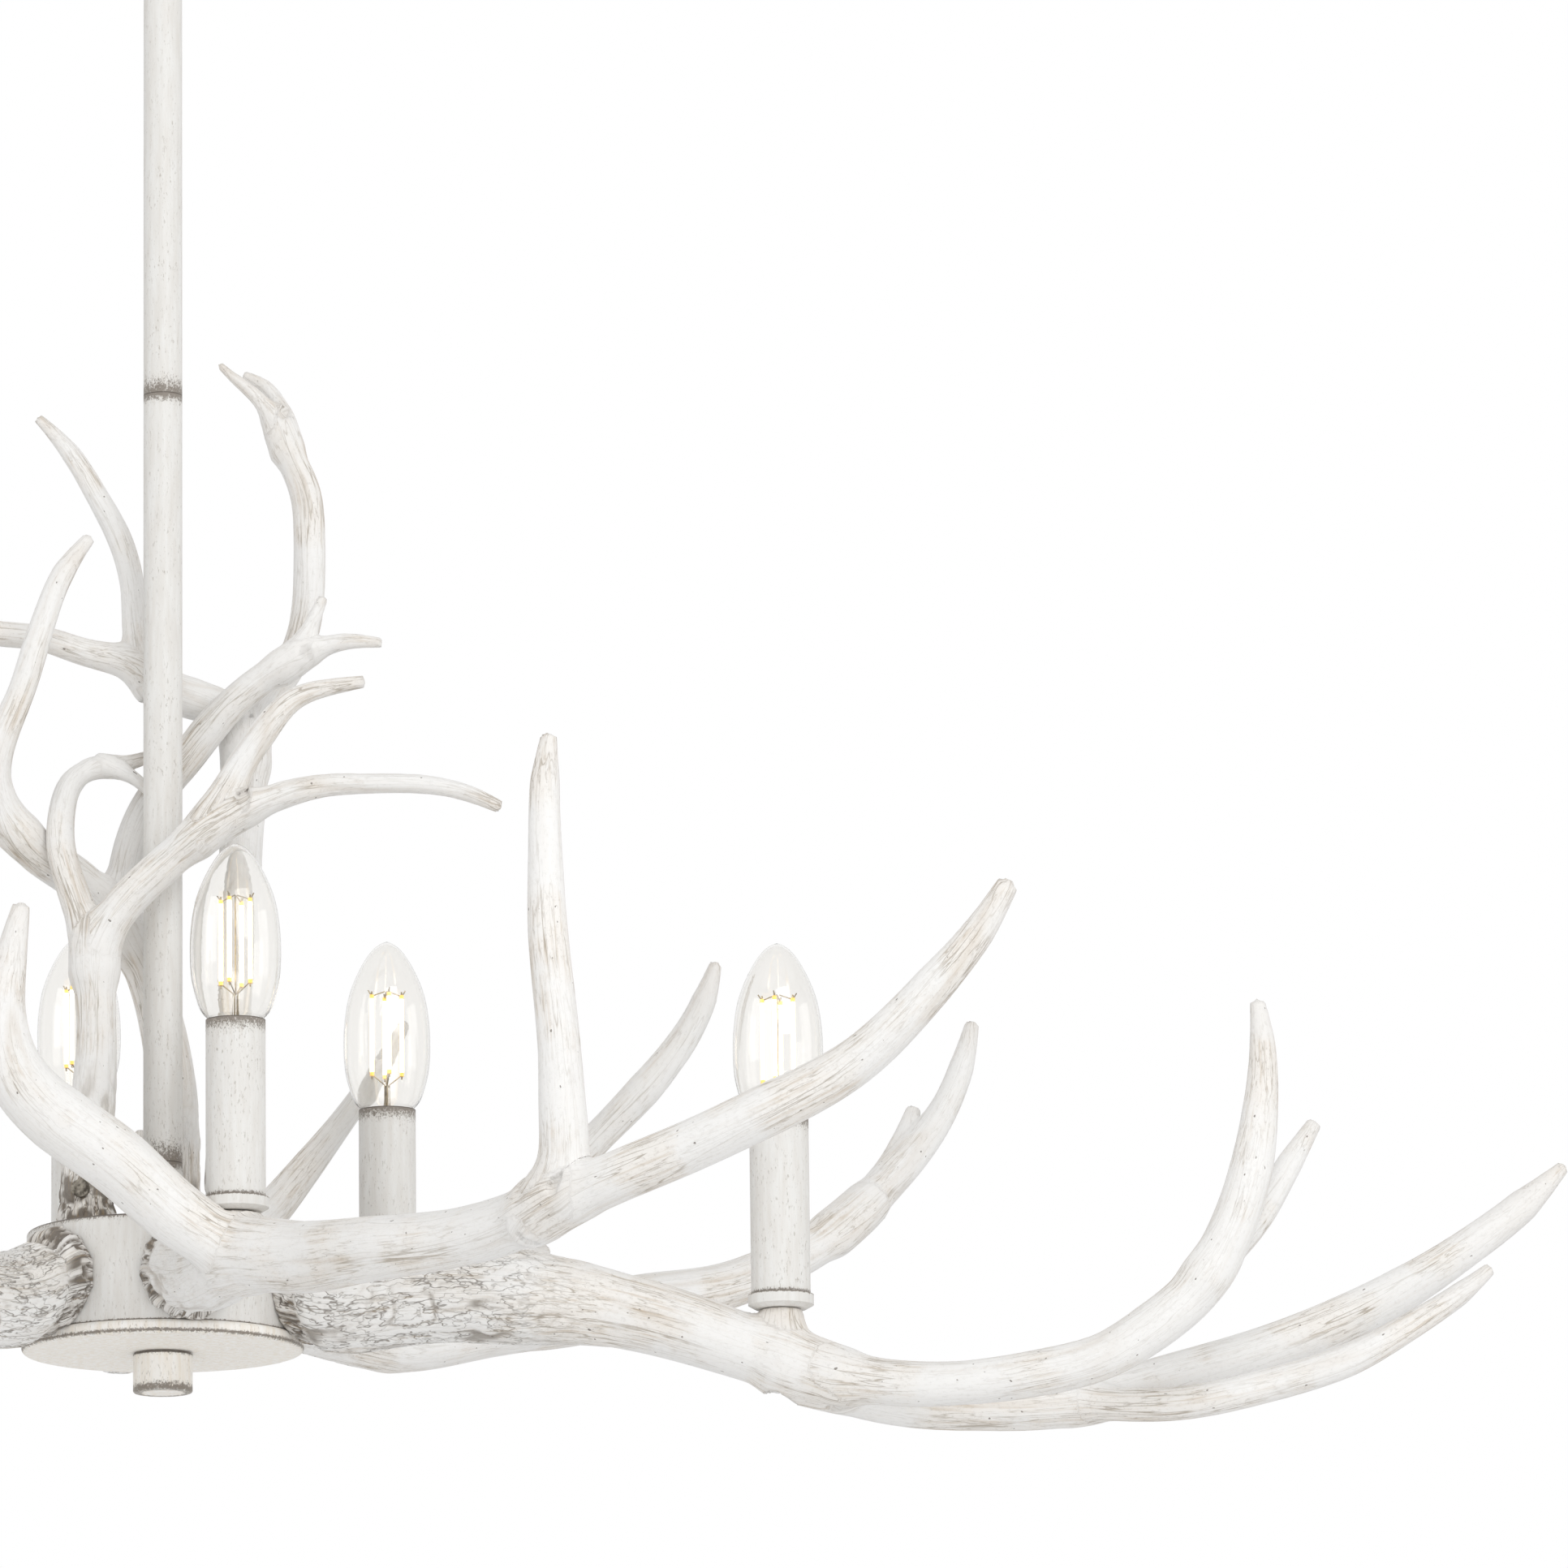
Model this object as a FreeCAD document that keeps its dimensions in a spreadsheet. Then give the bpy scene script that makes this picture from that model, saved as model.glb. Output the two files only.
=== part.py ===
import FreeCAD, Part
import math
import os
import re
import Sketcher

# Antler chandelier. Millimetres, +Z up. The origin is the centre of the mounting strap's
# upper face, where it meets the ceiling box; everything hangs below it. +X is right and
# -Y is towards the front, where azimuth 0 lies; azimuths grow towards +X.

doc = FreeCAD.newDocument("AntlerChandelier")
sheet = doc.addObject("Spreadsheet::Sheet", "Sizes")

# the reach and height at which the antlers' patterns below are written, and their girths
PATTERN_REACH = 554
PATTERN_HEIGHT = 362
PATTERN_LOWER_GIRTH = 38
PATTERN_UPPER_GIRTH = 23

DRIVING = [
    # ceiling hardware
    ("strap_length", 108), ("strap_width", 20), ("strap_thickness", 2),
    ("box_screw_spacing", 88.9), ("box_slot_length", 12), ("box_slot_width", 5.2),
    ("canopy_diameter", 127), ("canopy_height", 26), ("canopy_wall", 1.2),
    ("canopy_floor_diameter", 96), ("canopy_stud_spacing", 58), ("canopy_stud_diameter", 4),
    ("cap_nut_diameter", 9), ("cap_nut_height", 7),
    # ball swivel under the canopy
    ("nipple_diameter", 9.6), ("nipple_bore", 7.2), ("thread_gap", 0.15),
    ("ball_diameter", 18), ("liner_thickness", 1), ("swivel_gap", 0.3),
    ("socket_diameter", 28), ("socket_rise", 15), ("socket_drop", 7.5),
    ("socket_plug_height", 4), ("socket_mouth_angle", 62), ("liner_low_angle", 54),
    ("liner_high_angle", 105), ("ball_neck_diameter", 9), ("ball_neck_length", 15),
    ("ball_stud_length", 14), ("turning_gap", 0.08), ("wire_bore", 5),
    # stems
    ("stem_diameter", 15.5), ("stem_wall", 1.25), ("stem_length", 311.4),
    ("coupler_length", 30), ("fit_gap", 0.05), ("neck_height", 27.6),
    # hub
    ("drum_diameter", 107), ("drum_height", 42), ("drum_wall", 2.5), ("drum_edge", 1.5),
    ("plate_diameter", 111), ("plate_thickness", 5.5), ("plate_edge", 2),
    ("finial_diameter", 23.4), ("finial_height", 15), ("collar_diameter", 22), ("collar_height", 0.8),
    ("hub_nut_width", 17), ("hub_nut_height", 5),
    # antlers
    ("lower_antler_reach", 554), ("upper_antler_height", 362), ("lower_antler_girth", 38),
    ("upper_antler_girth", 23), ("burr_diameter", 41), ("burr_thickness", 9), ("burr_drop", 23),
    ("first_azimuth", 10.7), ("foot_ring_radius", 33), ("foot_azimuth", 295),
    ("foot_burr_diameter", 25), ("foot_burr_height", 9), ("seat_gap", 0.1),
    ("antler_bolt_diameter", 6), ("antler_bolt_length", 28), ("foot_bolt_diameter", 5),
    ("foot_bolt_length", 18), ("bolt_gap", 0.15), ("foot_screw_azimuth", 348),
    ("foot_screw_height", 14), ("foot_screw_head", 7), ("foot_screw_shank", 3.2),
    # candle seats on the inner and outer lower antlers
    ("inner_seat_out", 70), ("inner_seat_side", 5), ("inner_seat_up", 12),
    ("outer_seat_out", 200), ("outer_seat_side", -3), ("outer_seat_up", -21),
    ("rear_seat_out", 200), ("rear_seat_side", -3), ("rear_seat_up", 45.5), ("rear_swing", -2.6),
    ("boss_diameter", 17), ("boss_foot_diameter", 20),
    # candles
    ("cup_diameter", 25.4), ("cup_height", 5.5), ("cup_floor", 1.5), ("cup_foot_diameter", 20),
    ("sleeve_diameter", 23), ("sleeve_wall", 0.9), ("sleeve_length", 73),
    ("holder_diameter", 19.4), ("holder_height", 30), ("holder_below_rim", 12),
    ("holder_bore", 13), ("holder_bore_depth", 18.6), ("candle_nut_width", 16),
    ("candle_nut_height", 4), ("nipple_depth", 13),
    # bulbs
    ("bulb_diameter", 35), ("bulb_height", 69.3), ("bulb_wall", 0.9), ("bulb_neck_depth", 10),
    ("bulb_neck_diameter", 13.2), ("cap_diameter", 12.4), ("cap_length", 17.6), ("cap_gap", 0.2),
    ("filament_length", 33), ("filament_diameter", 1.6), ("filament_ring", 5.6),
    ("mount_diameter", 4.6), ("mount_height", 22),
]

DERIVED = [
    ("stem_radius", "stem_diameter / 2"), ("stem_inner", "stem_radius - stem_wall"),
    ("stem_fill", "stem_inner - fit_gap"), ("wire_radius", "wire_bore / 2"),
    ("nipple_radius", "nipple_diameter / 2"), ("nipple_inner", "nipple_bore / 2"),
    ("nipple_hole", "nipple_radius + thread_gap"), ("stud_hole", "canopy_stud_diameter / 2 + bolt_gap"),
    ("cap_nut_hole", "canopy_stud_diameter / 2 + thread_gap"), ("slot_run", "box_slot_length - box_slot_width"),
    ("canopy_radius", "canopy_diameter / 2"), ("canopy_rim_inner", "canopy_radius - canopy_wall"),
    ("canopy_floor_radius", "canopy_floor_diameter / 2"),
    ("canopy_floor_inner", "canopy_floor_radius - canopy_wall"),
    ("canopy_z", "0 - canopy_height"), ("strap_z", "0 - strap_thickness"),
    ("ball_radius", "ball_diameter / 2"), ("liner_inner", "ball_radius + swivel_gap"),
    ("liner_outer", "liner_inner + liner_thickness"),
    ("cavity_radius", "liner_outer + swivel_gap"), ("socket_radius", "socket_diameter / 2"),
    ("mouth_radius", "cavity_radius * sin(socket_mouth_angle)"),
    ("mouth_drop", "cavity_radius * cos(socket_mouth_angle)"),
    ("mouth_wide", "mouth_radius + (socket_drop - mouth_drop) * 0.65"),
    ("swivel_z", "canopy_z - swivel_gap - socket_rise"),
    ("upper_stem_top", "swivel_z - ball_neck_length - swivel_gap"),
    ("upper_stem_z", "upper_stem_top - stem_length"),
    ("lower_stem_z", "upper_stem_z - stem_length"),
    ("hub_top", "lower_stem_z - neck_height"), ("drum_z", "hub_top - drum_height"),
    ("plate_z", "drum_z - plate_thickness"), ("collar_z", "plate_z - collar_height"),
    ("finial_z", "collar_z - finial_height"),
    ("drum_radius", "drum_diameter / 2"), ("drum_inner", "drum_radius - drum_wall"),
    ("drum_ceiling", "drum_height - drum_wall"), ("plate_radius", "plate_diameter / 2"),
    ("finial_radius", "finial_diameter / 2"), ("collar_radius", "collar_diameter / 2"),
    ("finial_top", "finial_height + collar_height"), ("burr_z", "hub_top - burr_drop"),
    ("antler_bolt_hole", "antler_bolt_diameter / 2 + bolt_gap"),
    ("foot_bolt_hole", "foot_bolt_diameter / 2 + bolt_gap"),
    ("boss_radius", "boss_diameter / 2"), ("boss_foot_radius", "boss_foot_diameter / 2"),
    ("cup_radius", "cup_diameter / 2"), ("cup_foot_radius", "cup_foot_diameter / 2"),
    ("sleeve_radius", "sleeve_diameter / 2"), ("sleeve_inner", "sleeve_radius - sleeve_wall"),
    ("cup_inner", "sleeve_radius + thread_gap"),
    ("sleeve_top", "cup_floor + sleeve_length"),
    ("holder_radius", "holder_diameter / 2"), ("holder_bore_radius", "holder_bore / 2"),
    ("holder_z", "sleeve_top - holder_below_rim - holder_height"),
    ("holder_bore_floor", "holder_height - holder_bore_depth"),
    ("nipple_length", "nipple_depth + holder_z + holder_bore_floor - 2"),
    ("cap_radius", "cap_diameter / 2"), ("cap_z", "0 - bulb_neck_depth - cap_gap - cap_length"),
    ("canopy_lip", "canopy_height * 0.55"), ("canopy_lip_inner", "canopy_lip + canopy_wall * 0.4"),
    ("canopy_bend", "canopy_wall * 4"), ("finial_edge", "finial_height * 0.06"),
    ("finial_socket_floor", "finial_height - 11"),
    ("antler_growth", "lower_antler_reach / %d" % PATTERN_REACH),
    ("rear_out", "rear_seat_out * cos(rear_swing) - rear_seat_side * sin(rear_swing)"),
    ("rear_side", "rear_seat_out * sin(rear_swing) + rear_seat_side * cos(rear_swing)"),
]

# the place of each candle seat: the turn of its antler about the stem, and how far it lies
# out, sideways and up from the middle of the burr's face
for number, (turn, out, side, up) in enumerate([
        (0, "inner_seat_out", "inner_seat_side", "inner_seat_up"),
        (60, "outer_seat_out", "outer_seat_side", "outer_seat_up"),
        (120, "inner_seat_out", "inner_seat_side", "inner_seat_up"),
        (180, "rear_out", "rear_side", "rear_seat_up"),
        (240, "inner_seat_out", "inner_seat_side", "inner_seat_up"),
        (300, "outer_seat_out", "outer_seat_side", "outer_seat_up")], 1):
    azimuth = "first_azimuth + %d" % turn
    DERIVED += [
        ("seat_x_%d" % number, "(drum_radius + antler_growth * %s) * sin(%s) + antler_growth * %s * cos(%s)"
         % (out, azimuth, side, azimuth)),
        ("seat_y_%d" % number, "antler_growth * %s * sin(%s) - (drum_radius + antler_growth * %s) * cos(%s)"
         % (side, azimuth, out, azimuth)),
        ("seat_z_%d" % number, "burr_z + antler_growth * %s" % up)]

for row, (alias, value) in enumerate(DRIVING + DERIVED, 1):
    sheet.set("A%d" % row, alias)
    sheet.set("B%d" % row, str(value) if isinstance(value, (int, float)) else "=" + value)
    sheet.setAlias("B%d" % row, alias)
doc.recompute()


def formula(text):
    """A formula over named cells, in the document's spelling."""
    def cell(word):
        return "Sizes." + word[0] if sheet.getCellFromAlias(word[0]) else word[0]

    return re.sub(r"[A-Za-z_]\w*", cell, text)


def size(text):
    """The value of a cell or formula in millimetres or degrees; None stands for nought."""
    return 0.0 if text is None else float(sheet.evalExpression(formula(text)))


V = FreeCAD.Vector
UP = V(0, 0, 1)
parts = {}


# ------------------------------------------------------------------ helpers


def origin_plane(body, role):
    return [f for f in body.Origin.OriginFeatures if f.Role == role][0]


def bind(feature, prop, text):
    feature.setExpression(prop, formula(text))


def place(feature, z=None, x=None, y=None):
    """Bind a feature's position to cells or formulas; an axis left out stays at nought."""
    for axis, text in (("x", x), ("y", y), ("z", z)):
        if text:
            bind(feature, "Placement.Base." + axis, text)
    return feature


def keep(feature):
    """Count a feature as one of the sub-parts, under its own name."""
    parts[feature.Name] = feature
    return feature


def primitive(kind, name, sizes, **where):
    """A primitive solid with its sizes and place bound to the sheet."""
    feature = doc.addObject("Part::" + kind, name)
    for prop, text in sizes.items():
        bind(feature, prop, text)
    return place(feature, **where)


def rod(name, radius, height, **where):
    return primitive("Cylinder", name, {"Radius": radius, "Height": height}, **where)


def cone(name, low_radius, high_radius, height, **where):
    return primitive("Cone", name, {"Radius1": low_radius, "Radius2": high_radius, "Height": height}, **where)


def hexagon(name, width, height, **where):
    """Hexagonal prism of this width across its flats."""
    feature = primitive("Prism", name, {"Circumradius": width + " / 2 / cos(30)", "Height": height}, **where)
    feature.Polygon = 6
    return feature


def joined(name, pieces):
    feature = doc.addObject("Part::MultiFuse", name)
    feature.Shapes = pieces
    feature.Refine = True
    return feature


def grouped(name, pieces):
    feature = doc.addObject("Part::Compound", name)
    feature.Links = pieces
    return feature


def carved(name, base, tools):
    """The base less its tools."""
    feature = doc.addObject("Part::Cut", name)
    feature.Base = base
    feature.Tool = tools[0] if len(tools) == 1 else joined(name + "_tools", tools)
    return feature


def nut(name, width, height, hole, z, **where):
    """Hexagonal nut with a plain bore."""
    bore = rod(name + "_bore", hole, height + " + 2", z=z + " - 1", **where)
    return carved(name, hexagon(name + "_blank", width, height, z=z, **where), [bore])


def turned(name, outline, **where):
    """A piece turned about the upright axis; outline holds (radius, height) corners as cells or formulas."""
    body = doc.addObject("PartDesign::Body", name)
    sketch = body.newObject("Sketcher::SketchObject", name + "_outline")
    sketch.AttachmentSupport = [(origin_plane(body, "XZ_Plane"), "")]
    sketch.MapMode = "FlatFace"
    corners = [V(size(r), size(h), 0) for r, h in outline]
    count = len(corners)
    for i, corner in enumerate(corners):
        sketch.addGeometry(Part.LineSegment(corner, corners[(i + 1) % count]), False)
    for i in range(count):
        sketch.addConstraint(Sketcher.Constraint("Coincident", i, 2, (i + 1) % count, 1))
    for i, cells in enumerate(outline):
        for kind, axis, text in (("DistanceX", -2, cells[0]), ("DistanceY", -1, cells[1])):
            if text is None:
                sketch.addConstraint(Sketcher.Constraint("PointOnObject", i, 1, axis))
            else:
                rule = Sketcher.Constraint(kind, -1, 1, i, 1, size(text))
                number = sketch.addConstraint(rule)
                bind(sketch, "Constraints[%d]" % number, text)
    spin = body.newObject("PartDesign::Revolution", name + "_turning")
    spin.Profile = sketch
    spin.ReferenceAxis = (sketch, ["V_Axis"])
    spin.Angle = 360
    return place(body, **where)


def tube(name, inner, outer, height, **where):
    return turned(name, [(inner, None), (outer, None), (outer, height), (inner, height)], **where)


def round_edges(body, radius_cell, edge_radius, heights):
    """Fillet the circular edges of a turned body that have this radius, at these heights."""
    doc.recompute()
    tip = body.Tip
    names = []
    for i, edge in enumerate(tip.Shape.Edges):
        curve = edge.Curve
        if not isinstance(curve, Part.Circle):
            continue
        right_height = any(abs(curve.Center.z - size(h)) < 0.01 for h in heights)
        if right_height and abs(curve.Radius - size(edge_radius)) < 0.01:
            names.append("Edge%d" % (i + 1))
    fillet = body.newObject("PartDesign::Fillet", body.Name + "_rounding")
    fillet.Base = (tip, names)
    bind(fillet, "Radius", radius_cell)
    body.Tip = fillet
    return body


def shaped(name, shape):
    """A free form that no primitive or sketch fits, built from sizes read in the sheet."""
    feature = doc.addObject("Part::Feature", name)
    feature.Shape = shape
    return feature


def aimed(feature, azimuth, distance):
    """Lay an upright primitive along the heading of an azimuth, its foot this far out."""
    feature.Placement.Rotation = FreeCAD.Rotation(UP, heading(size(azimuth)))
    return place(feature, x="(%s) * sin(%s)" % (distance, azimuth),
                 y="0 - (%s) * cos(%s)" % (distance, azimuth))


def heading(azimuth):
    """Unit vector away from the stem at this azimuth."""
    a = math.radians(azimuth)
    return V(math.sin(a), -math.cos(a), 0)


def sideways(azimuth):
    """Unit vector at right angles to the heading, towards growing azimuth."""
    a = math.radians(azimuth)
    return V(math.cos(a), math.sin(a), 0)


# ------------------------------------------------------------------ ceiling hardware


def ceiling_plate():
    """Flat bar with two slots for the box screws, two stud holes and the nipple's hole."""
    bar = primitive("Box", "strap_bar", {"Length": "strap_length", "Width": "strap_width",
                                         "Height": "strap_thickness"},
                    x="0 - strap_length / 2", y="0 - strap_width / 2", z="strap_z")
    deep = "strap_thickness * 3"
    low = "0 - strap_thickness * 2"
    cutters = [rod("strap_nipple_hole", "nipple_hole", deep, z=low)]
    for side, sign in (("left", "0 - "), ("right", "")):
        cutters.append(rod("strap_stud_hole_" + side, "stud_hole", deep,
                           x=sign + "canopy_stud_spacing / 2", z=low))
        middle = sign + "box_screw_spacing / 2"
        cutters.append(primitive("Box", "slot_middle_" + side,
                                 {"Length": "slot_run", "Width": "box_slot_width", "Height": deep},
                                 x=middle + " - slot_run / 2", y="0 - box_slot_width / 2", z=low))
        for end, shift in (("a", " - slot_run / 2"), ("b", " + slot_run / 2")):
            cutters.append(rod("slot_%s_%s" % (end, side), "box_slot_width / 2", deep,
                               x=middle + shift, z=low))
    keep(carved("mounting_strap", bar, cutters))


def canopy():
    """Spun dish: flat floor with rolled shoulder, open rim against the ceiling."""
    dish = turned("canopy_dish", [
        ("nipple_hole", None), ("canopy_floor_radius", None), ("canopy_radius", "canopy_lip"),
        ("canopy_radius", "canopy_height"), ("canopy_rim_inner", "canopy_height"),
        ("canopy_rim_inner", "canopy_lip_inner"), ("canopy_floor_inner", "canopy_wall"),
        ("nipple_hole", "canopy_wall")], z="canopy_z")
    round_edges(dish, "canopy_bend", "canopy_floor_radius", [None])
    holes, studs, caps = [], [], []
    for side, sign in (("left", "0 - "), ("right", "")):
        across = sign + "canopy_stud_spacing / 2"
        holes.append(rod("canopy_stud_hole_" + side, "stud_hole", "6", x=across, z="canopy_z - 2"))
        studs.append(rod("canopy_stud_" + side, "canopy_stud_diameter / 2", "cap_nut_height - canopy_z - 2.1",
                         x=across, z="canopy_z - cap_nut_height + 2"))
        cap = turned("cap_nut_" + side, [
            (None, None), ("cap_nut_diameter / 2", None), ("cap_nut_diameter / 2", "cap_nut_height"),
            ("cap_nut_hole", "cap_nut_height"), ("cap_nut_hole", "1.7"), (None, "1.7")],
            x=across, z="canopy_z - cap_nut_height")
        caps.append(round_edges(cap, "cap_nut_diameter * 0.3", "cap_nut_diameter / 2", [None]))
    keep(carved("canopy", dish, holes))
    keep(grouped("canopy_studs", studs))
    keep(grouped("canopy_cap_nuts", caps))


# ------------------------------------------------------------------ swivel


def swivel():
    """Socket cup, plug with nipple, spherical liner, and the ball with its neck and stud."""
    blank = turned("socket_blank", [
        (None, None), ("socket_radius", None), ("socket_radius", "socket_rise + socket_drop"),
        (None, "socket_rise + socket_drop")], z="swivel_z - socket_drop")
    round_edges(blank, "socket_drop * 0.4", "socket_radius", [None])
    cavity = primitive("Sphere", "socket_cavity", {"Radius": "cavity_radius",
                                                   "Angle1": "socket_mouth_angle - 90"}, z="swivel_z")
    well = rod("socket_well", "cavity_radius", "socket_rise + 1", z="swivel_z")
    mouth = cone("socket_mouth", "mouth_wide", "mouth_radius", "socket_drop - mouth_drop + 0.02",
                 z="swivel_z - socket_drop - 0.01")
    keep(carved("swivel_socket", blank, [cavity, well, mouth]))
    pipe_end = "0 - swivel_z - socket_rise + socket_plug_height"
    plug = "cavity_radius - fit_gap"
    keep(turned("swivel_nipple", [
        ("nipple_inner", None), (plug, None), (plug, "socket_plug_height"),
        ("nipple_radius", "socket_plug_height"), ("nipple_radius", pipe_end), ("nipple_inner", pipe_end)],
        z="swivel_z + socket_rise - socket_plug_height"))
    keep(nut("nipple_locknut", "hub_nut_width", "strap_thickness * 1.5", "nipple_hole",
             z="0 - strap_thickness * 2.5"))
    outside = primitive("Sphere", "liner_outside", {"Radius": "liner_outer",
                                                    "Angle2": "liner_high_angle - 90"}, z="swivel_z")
    inside = primitive("Sphere", "liner_inside", {"Radius": "liner_inner"}, z="swivel_z")
    opening = cone("liner_opening", "20 * tan(liner_low_angle)", "0.01", "20", z="swivel_z - 20")
    keep(carved("swivel_liner", outside, [inside, opening]))
    ball = primitive("Sphere", "ball_blank", {"Radius": "ball_radius", "Angle2": "asin(0.85)"}, z="swivel_z")
    neck = rod("ball_neck", "ball_neck_diameter / 2", "ball_neck_length + ball_stud_length",
               z="swivel_z - ball_neck_length - ball_stud_length")
    shoulder = cone("ball_shoulder", "stem_radius * 0.8", "ball_neck_diameter / 2", "2.5",
                    z="swivel_z - ball_neck_length")
    bore = rod("ball_bore", "wire_radius", "200", z="swivel_z - 100")
    keep(carved("swivel_ball", joined("ball_forged", [ball, neck, shoulder]), [bore]))


# ------------------------------------------------------------------ stems and hub


def stems():
    keep(tube("upper_stem", "stem_inner", "stem_radius", "stem_length", z="upper_stem_z"))
    keep(tube("lower_stem", "stem_inner", "stem_radius", "stem_length", z="lower_stem_z"))
    keep(tube("hub_neck", "nipple_hole", "stem_radius", "neck_height", z="hub_top"))
    turning = "ball_neck_diameter / 2 + turning_gap"
    top_length = "ball_stud_length + 4"
    top = turned("top_coupler", [
        ("wire_radius", None), ("stem_fill", None), ("stem_fill", top_length), (turning, top_length),
        (turning, "3"), ("wire_radius", "3")], z="upper_stem_top - ball_stud_length - 4")
    middle = tube("middle_coupler", "nipple_inner", "stem_fill", "coupler_length",
                  z="upper_stem_z - coupler_length / 2")
    foot = tube("foot_coupler", "nipple_hole", "stem_fill", "coupler_length / 2", z="lower_stem_z")
    keep(grouped("stem_couplers", [top, middle, foot]))


def hub():
    drum = turned("drum_shell", [
        ("nipple_hole", "drum_ceiling"), ("drum_inner", "drum_ceiling"), ("drum_inner", None),
        ("drum_radius", None), ("drum_radius", "drum_height"), ("nipple_hole", "drum_height")], z="drum_z")
    round_edges(drum, "drum_edge", "drum_radius", ["drum_height"])
    holes = []
    for number, antler in enumerate(LOWER, 1):
        hole = rod("antler_hole_%d" % number, "antler_bolt_hole", "20", z="burr_z")
        holes.append(aimed(hole, lower_azimuth(antler), "drum_inner - 8"))
    for number, antler in enumerate(UPPER, 1):
        hole = rod("foot_hole_%d" % number, "foot_bolt_hole", "20", z="hub_top - 15")
        holes.append(stood(hole, antler))
    keep(carved("hub_drum", drum, holes))
    plate = turned("hub_plate", [
        ("nipple_hole", None), ("plate_radius", None), ("plate_radius", "plate_thickness"),
        ("nipple_hole", "plate_thickness")], z="plate_z")
    keep(round_edges(plate, "plate_edge", "plate_radius", [None, "plate_thickness"]))
    finial = turned("finial", [
        (None, None), ("finial_radius", None), ("finial_radius", "finial_height"),
        ("collar_radius", "finial_height"), ("collar_radius", "finial_top"), ("nipple_hole", "finial_top"),
        ("nipple_hole", "finial_socket_floor"), (None, "finial_socket_floor")], z="finial_z")
    keep(round_edges(finial, "finial_edge", "finial_radius", [None]))
    low = "finial_z + finial_socket_floor + 0.3"
    keep(tube("centre_rod", "nipple_inner", "nipple_radius",
              "lower_stem_z + coupler_length / 2 - 2 - (%s)" % low, z=low))
    keep(grouped("hub_nuts", [
        nut("upper_hub_nut", "hub_nut_width", "hub_nut_height", "nipple_hole",
            z="hub_top - drum_wall - hub_nut_height"),
        nut("lower_hub_nut", "hub_nut_width", "hub_nut_height", "nipple_hole", z="drum_z")]))


# ------------------------------------------------------------------ antlers
# A branch is a list of stations along its middle line. On a lower antler they are
# (out from the drum, sideways, up from the burr's centre, thickness); on an upper
# antler (right, back, up from the foot's centre, thickness). They are the pattern's
# own millimetres, for the reach, height and girths named at the top.

INNER_PATTERN = {
    "beam": [(-6, -1, 0, 35), (1, -1, 0, 35), (36, 2, -4, 33), (74, 8, -5, 30), (103, 21, -10, 28),
             (149, 39, -14, 25), (194, 64, -16, 22), (228, 82, -13, 22), (254, 93, -7, 21)],
    "far_tine": [(240, 88, -11, 21), (272, 108, -4, 19), (296, 130, 4, 19), (321, 155, 15, 19),
                 (342, 180, 29, 17), (363, 204, 54, 15), (374, 218, 72, 12), (381, 227, 88, 8)],
    "mid_tine": [(236, 84, -14, 18), (255, 91, 6, 19), (259, 90, 20, 18), (263, 88, 43, 16),
                 (263, 84, 88, 15), (260, 84, 119, 13), (256, 85, 146, 11), (254, 87, 163, 6)],
    "near_tine": [(74, 10, -6, 23), (74, -20, 11, 25), (77, -41, 28, 26), (82, -66, 44, 26),
                  (87, -83, 60, 23), (92, -89, 81, 18), (95, -87, 102, 13), (96, -83, 123, 7)],
}

REAR_INNER_PATTERN = {
    "beam": [(-6, 0, 0, 34), (1, 0, 0, 34), (33, 2, -2, 32), (71, 4, -5, 30), (121, 2, 4, 28),
             (167, 1, 12, 26), (213, 1, 23, 22), (249, -1, 31, 20), (277, -5, 42, 19),
             (302, -10, 56, 18), (322, -13, 71, 17)],
    "outer_tip": [(308, -11, 60, 16), (342, -13, 88, 16), (365, -15, 113, 13), (378, -16, 136, 11),
                  (386, -15, 156, 6)],
    "inner_tip": [(306, -9, 58, 13), (338, -7, 83, 12), (351, -6, 101, 10), (361, -4, 118, 6)],
    "side_tine": [(118, 5, 8, 17), (127, -13, 40, 15), (131, -33, 62, 14), (137, -51, 78, 13),
                  (143, -68, 93, 14), (150, -83, 111, 12), (153, -94, 128, 10), (154, -100, 142, 5)],
    "snag": [(78, 8, 4, 12), (109, 8, 24, 11), (134, 5, 32, 9), (153, 1, 37, 7)],
}

OUTER_PATTERN = {
    "beam": [(-6, 0, -1, 36), (1, 0, -2, 37), (14, -3, -8, 38), (50, -8, -10, 36), (98, -10, -12, 37),
             (137, -9, -19, 29), (169, -7, -29, 27), (198, -4, -40, 25), (221, -2, -49, 24)],
    "upper_arm": [(205, -3, -43, 22), (242, -7, -52, 18), (274, -8, -54, 17), (307, -7, -51, 18),
                  (329, -6, -46, 18), (347, -4, -36, 19), (364, -1, -22, 19), (377, 1, -1, 18),
                  (385, 4, 22, 17), (389, 7, 47, 14), (390, 9, 74, 10), (388, 11, 90, 6)],
    "back_tine": [(368, -2, -16, 13), (383, 28, 11, 12), (392, 44, 33, 10), (399, 55, 49, 6)],
    "lower_arm": [(204, -3, -44, 22), (236, 15, -55, 20), (270, 33, -58, 18), (304, 53, -55, 18),
                  (332, 72, -46, 20), (361, 90, -36, 20), (389, 108, -23, 19), (417, 127, -6, 18),
                  (440, 141, 11, 15), (460, 155, 29, 13), (475, 164, 45, 5)],
    "low_tine": [(304, 50, -55, 13), (345, 48, -58, 13), (379, 54, -52, 13), (409, 64, -42, 13),
                 (432, 75, -28, 11), (449, 83, -16, 9), (460, 89, -6, 5)],
}

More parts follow.
